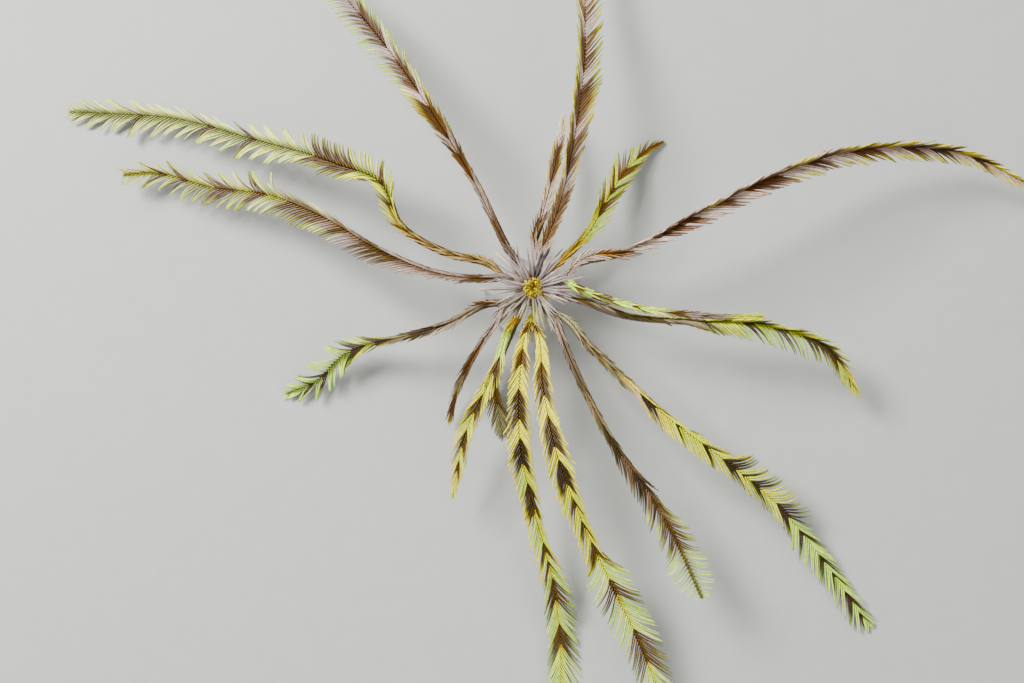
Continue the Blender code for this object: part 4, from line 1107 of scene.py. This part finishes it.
def finish_rays(mesh):
    """Cut the joints and the groove into the plain rays, and colour them."""
    places = points_of(mesh)
    middle, along, mouth, run, owner = nearest_axis(places)
    offset = places - middle
    ahead = np.sum(offset * along, axis=1)
    run = (run + ahead) / MM
    out = unit(offset - ahead[:, None] * along)
    joint = np.min(np.abs(run[:, None] - np.array(RAY_JOINTS)), axis=1) * MM
    on_bone = smooth_step(*BONE_REACH, np.linalg.norm(offset, axis=1))
    cut = np.exp(-(joint / JOINT_WIDTH) ** 2) * on_bone
    mouthward = np.degrees(np.arccos(np.clip(np.sum(out * mouth, axis=1), -1, 1)))
    begun = smooth_step(*FOOD_GROOVE_START, run)
    groove = np.exp(-(mouthward / FOOD_GROOVE_SPREAD) ** 2) * begun * on_bone
    places -= out * (JOINT_DEPTH * cut + FOOD_GROOVE * groove)[:, None]
    mesh.vertices.foreach_set("co", places.astype(np.float32).ravel())
    mesh.update()
    mesh.shade_smooth()
    at = np.linalg.norm(places[:, :2] - CALYX, axis=1) / MM
    colour = np.zeros_like(places)
    for k, route in enumerate(ROUTES):
        mine = owner == k
        colour[mine] = coat_colour(COATS[route.arm.name], at[mine], np.zeros(mine.sum()))
    colour *= (1 - JOINT_SHADE * cut)[:, None]
    set_marks(mesh, colour)


finish_rays(ray_skin)
add_piece("ray_skin", ray_skin, arm_skin, RAY_NODES)
print("nodes of the rays", len(RAY_NODES))

# %% [markdown]
# ## The disc
# The soft disc lies between the roots of the rays, mouth up. Five food grooves run in from the rays
# to the mouth, small papillae stand on the fields between them, and a short tube beside the mouth is
# the vent. All that could be sculpted, but on one dome of rings a few formulas for the height and the
# colour say it in less.

# %% Turned forms
def dome(name, profile, steps, rise, tint):
    """A turned form from its (radius, height) profile, bottom to top, raised by rise(x, y, radius)."""
    turns = 2 * math.pi * np.arange(steps) / steps
    radius, height = np.array(profile).T
    ring = np.stack([np.cos(turns), np.sin(turns)], axis=-1)
    outline = radius[:, None, None] * ring
    lift = rise(outline[..., 0], outline[..., 1], radius[:, None])
    middle = [np.full_like(lift, place) for place in CALYX]
    centre = np.stack(middle + [height[:, None] + lift], axis=-1)
    across = np.broadcast_to([1.0, 0.0, 0.0], (1, len(radius), 3))
    over = np.broadcast_to([0.0, 1.0, 0.0], (1, len(radius), 3))
    colour = tint(outline[..., 0], outline[..., 1], radius[:, None])
    return rods(name, centre[None], across, over, outline[None], colour[None])


# %% Disc
DISC_RADIUS = 3.9 * MM
DISC_EDGE = 14.7 * MM
DISC_TOP = 17.0 * MM
DISC_STEPS = 160
PLUG_RADIUS = 2.6 * MM
PAPILLAE = 420
PAPILLA_RADIUS = 0.13 * MM
PAPILLA_HEIGHT = (0.1, 0.24)
FLECKS = 150
FLECK_RADIUS = 0.2 * MM
GROOVE_WIDTH = 0.26 * MM
GROOVE_CUT = 0.2 * MM
GROOVE_SHADE = 0.35
VENT_BEARING = 112
VENT_DISTANCE = 2.0 * MM
VENT_RADIUS = 0.5 * MM
VENT_HEIGHT = 1.0 * MM
VENT_HOLE = 0.22 * MM
VENT_DEPTH = 0.7 * MM

# The dome by distance from the middle and height, from the pit of the mouth to the rim
DOME = ((0.0, DISC_TOP - 1.5 * MM), (0.35 * MM, DISC_TOP - 1.2 * MM), (0.9 * MM, DISC_TOP - 0.2 * MM),
        (1.3 * MM, DISC_TOP - 0.05 * MM), (2.4 * MM, DISC_TOP - 0.35 * MM),
        (3.4 * MM, DISC_EDGE + 1.35 * MM), (DISC_RADIUS, DISC_EDGE + 0.4 * MM))


def disc_grooves(x, y, radius):
    """How deep each place of the disc lies in one of the five food grooves, 0 to 1."""
    depth = np.zeros_like(x)
    for bearing in RAY_BEARINGS.values():
        turn = math.radians(bearing)
        along = x * math.cos(turn) + y * math.sin(turn)
        aside = y * math.cos(turn) - x * math.sin(turn)
        begun = smooth_step(0.2 * MM, 0.6 * MM, along)
        depth = np.maximum(depth, np.exp(-(aside / GROOVE_WIDTH) ** 2) * begun)
    return depth


def disc_rise(x, y, radius):
    """The height that grooves, papillae and vent add to the disc."""
    rand = np.random.default_rng(31)
    top = (radius < DISC_RADIUS * 1.01) & (np.arange(len(radius)) > 6)[:, None]
    rise = -GROOVE_CUT * disc_grooves(x, y, radius) * smooth_step(DISC_RADIUS, 3.2 * MM, radius)
    bumps = np.zeros_like(x)
    for _ in range(PAPILLAE):
        away, turn = DISC_RADIUS * 0.97 * math.sqrt(rand.uniform(0.06, 1)), rand.uniform(0, 2 * math.pi)
        gap = np.hypot(x - away * math.cos(turn), y - away * math.sin(turn))
        height = rand.uniform(*PAPILLA_HEIGHT) * MM
        bumps = np.maximum(bumps, height * np.exp(-(gap / PAPILLA_RADIUS) ** 2))
    turn = math.radians(VENT_BEARING)
    gap = np.hypot(x - VENT_DISTANCE * math.cos(turn), y - VENT_DISTANCE * math.sin(turn))
    vent = VENT_HEIGHT * np.exp(-(gap / VENT_RADIUS) ** 4) - VENT_DEPTH * np.exp(-(gap / VENT_HOLE) ** 4)
    return np.where(top, rise + bumps * (1 - disc_grooves(x, y, radius)) + vent, 0.0)


def disc_paint(x, y, radius):
    """Gold flecks on brown, paler towards the rim, with the grooves a little darker."""
    rand = np.random.default_rng(33)
    fleck = np.zeros_like(x)
    for _ in range(FLECKS):
        away, turn = DISC_RADIUS * math.sqrt(rand.uniform(0.0, 1)), rand.uniform(0, 2 * math.pi)
        gap = np.hypot(x - away * math.cos(turn), y - away * math.sin(turn))
        fleck = np.maximum(fleck, rand.uniform(0.6, 1.0) * np.exp(-(gap / FLECK_RADIUS) ** 2))
    rim = smooth_step(2.4 * MM, DISC_RADIUS, np.hypot(x, y))[..., None]
    light = mixed(paint_of("yolk"), paint_of("sand"), rim)
    field = mixed(paint_of("bark"), light, fleck[..., None])
    return field * (1 - GROOVE_SHADE * disc_grooves(x, y, radius)[..., None])


def disc_profile():
    """From the plug between the rays, out under the rim and over the dome to the mouth."""
    low = ((PLUG_RADIUS, 12.0 * MM), (PLUG_RADIUS, DISC_EDGE - 0.3 * MM), (3.3 * MM, DISC_EDGE - 0.1 * MM),
           (DISC_RADIUS - 0.1 * MM, DISC_EDGE + 0.05 * MM), (DISC_RADIUS, DISC_EDGE + 0.3 * MM))
    away = np.linspace(DISC_RADIUS - 0.08 * MM, 0.05 * MM, 64)
    return low + tuple(zip(away, read_stops(DOME, away)))


disc_skin = make_skin("soft_disc_skin", 0.5, 0.1, 0.4)
disc_mesh = dome("disc_skin", disc_profile(), DISC_STEPS, disc_rise, disc_paint)
add_piece("disc_skin", disc_mesh, disc_skin, ["disc"])
print("disc points", len(disc_mesh.vertices))

# %% [markdown]
# ## The oral pinnules
# The first pinnules of every arm are stiff, pointed and pale, and stand round the disc like spines
# that guard it. They are made with the same rods as the others, thicker, and steered to lie outward
# over the roots of the arms, with a few standing up.

# %% Where the oral pinnules stand
ORAL_LENGTH = 9.6 * MM

# Rings of oral pinnules: how many, how far out they are rooted in mm, how steeply they rise in
# degrees, and their length and thickness as shares. The last ring is of short ones that lean inward
OralRing = namedtuple("OralRing", "count near far low high length thick")
ORAL_ROWS = (OralRing(28, 2.3, 3.4, 8, 30, 0.85, 0.95), OralRing(24, 3.4, 4.2, 20, 44, 0.95, 1.0),
             OralRing(26, 5.2, 7.0, 14, 36, 0.85, 1.0), OralRing(18, 7.0, 9.0, 10, 28, 0.7, 0.9),
             OralRing(6, 3.2, 6.0, 48, 66, 0.9, 1.05), OralRing(40, 1.4, 3.2, 100, 150, 0.14, 0.6))

# The height of the disc's surface by distance from its middle, both in mm
DISC_SURFACE = ((2.4, 16.5), (3.4, 15.9), (3.9, 14.9), (4.2, 14.4), (5.0, 14.0))
LEAN_GAP = 20


def oral_root(bearing, distance):
    """The rim of the disc, or the top of whatever ray, limb or arm root lies nearest to a bearing."""
    if distance < DISC_SURFACE[-1][0]:
        return polar(distance, bearing, read_stops(DISC_SURFACE, distance))
    best = None
    for route in ROUTES:
        place, along, mouth, side = (row[0] for row in route.read(np.array([route.run_at(distance * MM)])))
        turn = math.degrees(math.atan2(place[1] - CALYX[1], place[0] - CALYX[0]))
        gap = (bearing - turn + 180) % 360 - 180
        if best is None or abs(gap) < abs(best[0]):
            best = (gap, place, mouth, side)
    gap, place, mouth, side = best
    lean = np.clip(gap / LEAN_GAP, -0.8, 0.8)
    return place + RAY_RADIUS * 0.75 * (math.sqrt(1 - lean**2) * mouth - lean * side)


def plan_oral_pinnules(rand):
    """The root, direction, rise in degrees, length and thickness of every oral pinnule."""
    rows = []
    for ring in ORAL_ROWS:
        first = rand.uniform(0, 360)
        for k in range(ring.count):
            bearing = first + 360.0 * (k + rand.uniform(-0.3, 0.3)) / ring.count
            start = oral_root(bearing, rand.uniform(ring.near, ring.far))
            turn = math.radians(bearing + rand.normal(0, 4))
            rise = rand.uniform(ring.low, ring.high)
            length = ORAL_LENGTH * ring.length * rand.uniform(0.82, 1.15)
            rows.append((start, (math.cos(turn), math.sin(turn), 0.0), rise, length, ring.thick))
    return [np.array(column) for column in zip(*rows)]


# %% Oral pinnules
ORAL_ROOT = 0.46 * MM
ORAL_RINGS = 25
ORAL_SIDES = 8
ORAL_TAPER = ((0, 0.8), (0.12, 1), (0.5, 0.8), (0.85, 0.42), (1, 0.06))
# Painted light on the oral pinnules by height on the section: a painted highlight along the top and painted
# shade underneath
ORAL_CREST_PAINTED_LIGHT = ((-1, 0.3), (0, 0.7), (1, 1.3))
ORAL_JOINT = (1.04, 0.95)

# The two pale arms and the gap between them, as bearings
WARM_SIDE = -100
WARM_FADE = (70, 30)
YELLOW_SIDE = -92
YELLOW_SPREAD = 14


def oral_colour(out, girth, t, turns, rand):
    """Dusky at the root and pale outward, warmer towards the two pale arms, yellow where short, with a
    painted highlight along the top and painted shade underneath.
    """
    shade = smooth_step(-0.1, 0.55, t)[None, :, None]
    turn = np.degrees(np.arctan2(out[:, 1], out[:, 0]))
    warm = smooth_step(*WARM_FADE, np.abs(turn - WARM_SIDE))[:, None]
    yellow = np.exp(-((turn - YELLOW_SIDE) / YELLOW_SPREAD) ** 4)[:, None]
    tips = mixed(paint_of("frost"), paint_of("shell"), warm)
    tips = mixed(tips, paint_of("butter"), yellow)
    tips = np.where((girth > 0.8)[:, None], tips, paint_of("straw"))
    colour = mixed(paint_of("dusk"), tips[:, None], shade)
    colour = colour * (1 + 0.2 * rand.standard_normal(len(out)))[:, None, None]
    # painted highlight along the top of each oral pinnule, painted shade underneath
    crest_painted_light = read_stops(ORAL_CREST_PAINTED_LIGHT, np.sin(turns))[:, None]
    return np.clip(colour[:, :, None] * crest_painted_light, 0, 1)


def make_oral_pinnules(seed):
    """The stiff pale pinnules of all the arms as one mesh."""
    rand = np.random.default_rng(seed)
    start, out, rise, lengths, girth = plan_oral_pinnules(rand)
    drop = rand.uniform(0.2, 0.75, len(start))
    twist = rand.normal(0, 5, len(start))
    sideways = np.cross([0.0, 0.0, 1.0], out)

    def steer(t):
        climb = np.radians(rise * (1 - drop * t))
        aside = np.radians(twist * t)
        flat = np.cos(aside)[:, None] * out + np.sin(aside)[:, None] * sideways
        return np.cos(climb)[:, None] * flat + np.sin(climb)[:, None] * np.array([0.0, 0.0, 1.0])

    centre, ways = drawn_rods(start, steer, lengths, ORAL_RINGS)
    t = np.linspace(0.0, 1.0, ORAL_RINGS)
    over = unit(np.cross(ways, np.broadcast_to(-sideways[:, None], ways.shape)))
    joint = np.where(np.arange(ORAL_RINGS) % 2 == 0, *ORAL_JOINT)
    thick = girth[:, None] * (ORAL_ROOT * read_stops(ORAL_TAPER, t) * joint)
    turns = 2 * math.pi * np.arange(ORAL_SIDES) / ORAL_SIDES
    outline = thick[:, :, None, None] * np.stack([np.cos(turns) * 0.9, np.sin(turns) * 1.1], axis=-1)
    colour = oral_colour(out, girth, t, turns, rand)
    bearing = np.arctan2(start[:, 1] - CALYX[1], start[:, 0] - CALYX[0]) / (2 * math.pi) + 0.5
    away = np.linalg.norm(start[:, :2] - CALYX, axis=1) / (14 * MM)
    corner = np.column_stack([0.01 + 0.97 * bearing, 0.01 + 0.97 * away])
    return rods("oral_pinnules", centre, np.cross(over, ways), over, outline, colour, corner, PATCH)


oral_mesh = make_oral_pinnules(41)
add_piece("oral_pinnules", oral_mesh, pinnule_skin, RAY_NODES)
print("oral pinnules", sum(ring.count for ring in ORAL_ROWS))

# %% [markdown]
# ## The centrodorsal and its cirri
# Under the disc sits a bony button with two rings of sockets, and from each socket curves a cirrus, a
# leg of about twenty short bones that ends in a claw. The animal grips and stands with them. They are
# swept like the arms, with every bone waisted.

# %% Centrodorsal
BUTTON_LOW = 8.6 * MM
BUTTON_TOP = 11.2 * MM
BUTTON_RADIUS = 3.6 * MM
BUTTON_STEPS = 96
PIT_SPACING = 0.9 * MM
PIT_DEPTH = 0.03 * MM


def button_rise(x, y, radius):
    """Faint rings of pits on the underside of the button."""
    pits = np.cos(2 * math.pi * np.hypot(x, y) / PIT_SPACING) * PIT_DEPTH
    return pits * (radius < 0.9 * BUTTON_RADIUS)


def button_paint(x, y, radius):
    """Clay brown in the middle, paler towards the rim."""
    tone = smooth_step(0.0, BUTTON_RADIUS, np.hypot(x, y))
    return mixed(paint_of("clay"), paint_of("putty"), tone[..., None])


def button_profile():
    """A flattened ball with full sides, from the bottom to the top."""
    turn = np.linspace(-math.pi / 2, math.pi / 2, 40)
    middle = (BUTTON_LOW + BUTTON_TOP) / 2
    half = (BUTTON_TOP - BUTTON_LOW) / 2
    radius = BUTTON_RADIUS * np.abs(np.cos(turn)) ** 0.55
    height = middle + half * np.sign(np.sin(turn)) * np.abs(np.sin(turn)) ** 0.8
    return tuple(zip(np.maximum(radius, 0.02 * MM), height))


bone_skin = make_skin("pigmented_bone", 0.7, 0.1, 0.5)
button_mesh = dome("centrodorsal_skin", button_profile(), BUTTON_STEPS, button_rise, button_paint)
add_piece("centrodorsal_skin", button_mesh, bone_skin, ["centrodorsal"])
print("centrodorsal points", len(button_mesh.vertices))

# %% Cirri
# Each leg as distance and height in mm, from its socket to the floor
CIRRI_PER_RING = 8
UPPER_CIRRUS = ((3.7, 10.4), (7.0, 10.6), (11.0, 9.2), (14.2, 5.6), (15.4, 2.0), (14.6, 0.3))
LOWER_CIRRUS = ((3.3, 9.2), (5.6, 9.0), (8.2, 7.2), (10.2, 4.2), (10.7, 1.6), (9.9, 0.3))
CIRRUS_BONES = 22
CIRRUS_RINGS = ((0.0, 0.84), (0.2, 0.96), (0.6, 0.98), (0.88, 1.08))
CIRRUS_SIDES = 10
CIRRUS_FLATNESS = 0.85

# Radius in mm by share of the length, and how the claw narrows to its point
CIRRUS_RADIUS = ((0, 0.62), (0.15, 0.58), (0.9, 0.42), (1, 0.12))
CLAW_TAPER = ((0.9, 1.0), (0.955, 0.75), (1.0, 0.35))


def make_cirrus(name, outline_points, bearing, seed):
    """A leg: its bones from the socket to the claw on the floor."""
    rand = np.random.default_rng(seed)
    curve = smooth_curve([polar(distance, bearing, height) for distance, height in outline_points], 0.1 * MM)
    run = np.linspace(0, 1, len(curve))
    bone = np.repeat(np.arange(CIRRUS_BONES), len(CIRRUS_RINGS))
    part = np.tile([ring[0] for ring in CIRRUS_RINGS], CIRRUS_BONES)
    girth = np.tile([ring[1] for ring in CIRRUS_RINGS], CIRRUS_BONES)
    at = np.append((bone + part) / CIRRUS_BONES, 1.0)
    girth = np.append(girth, 0.2)
    centre = read_rows(at, run, curve)
    ahead = read_rows(np.minimum(at + 0.01, 1), run, curve)
    along = unit(ahead - read_rows(np.maximum(at - 0.01, 0), run, curve))
    turn = math.radians(bearing)
    across = np.broadcast_to([-math.sin(turn), math.cos(turn), 0.0], centre.shape)
    over = np.cross(along, across)
    thick = read_stops(CIRRUS_RADIUS, at) * MM * girth
    thick = thick * read_stops(CLAW_TAPER, at)
    turns = 2 * math.pi * np.arange(CIRRUS_SIDES) / CIRRUS_SIDES
    outline = thick[:, None, None] * np.stack([np.cos(turns) * CIRRUS_FLATNESS, np.sin(turns)], axis=-1)
    colour = mixed(paint_of("taupe"), paint_of("ivory"), at[:, None])
    colour = colour * np.append(np.where(part == 0.0, 0.7, 1.0), 1.0)[:, None] * rand.uniform(0.9, 1.08)
    colour = np.broadcast_to(colour[:, None], outline.shape[:2] + (3,))
    return rods(name, centre[None], across[None], over[None], outline[None], colour[None])


for ring, (outline_points, offset) in enumerate(((UPPER_CIRRUS, 0.0), (LOWER_CIRRUS, 0.5))):
    for k in range(CIRRI_PER_RING):
        number = ring * CIRRI_PER_RING + k + 1
        name = f"cirrus_{number:02d}"
        mesh = make_cirrus(name + "_skin", outline_points, 360.0 * (k + offset) / CIRRI_PER_RING, number)
        add_piece(name + "_skin", mesh, bone_skin, [name])
print("cirri", 2 * CIRRI_PER_RING)
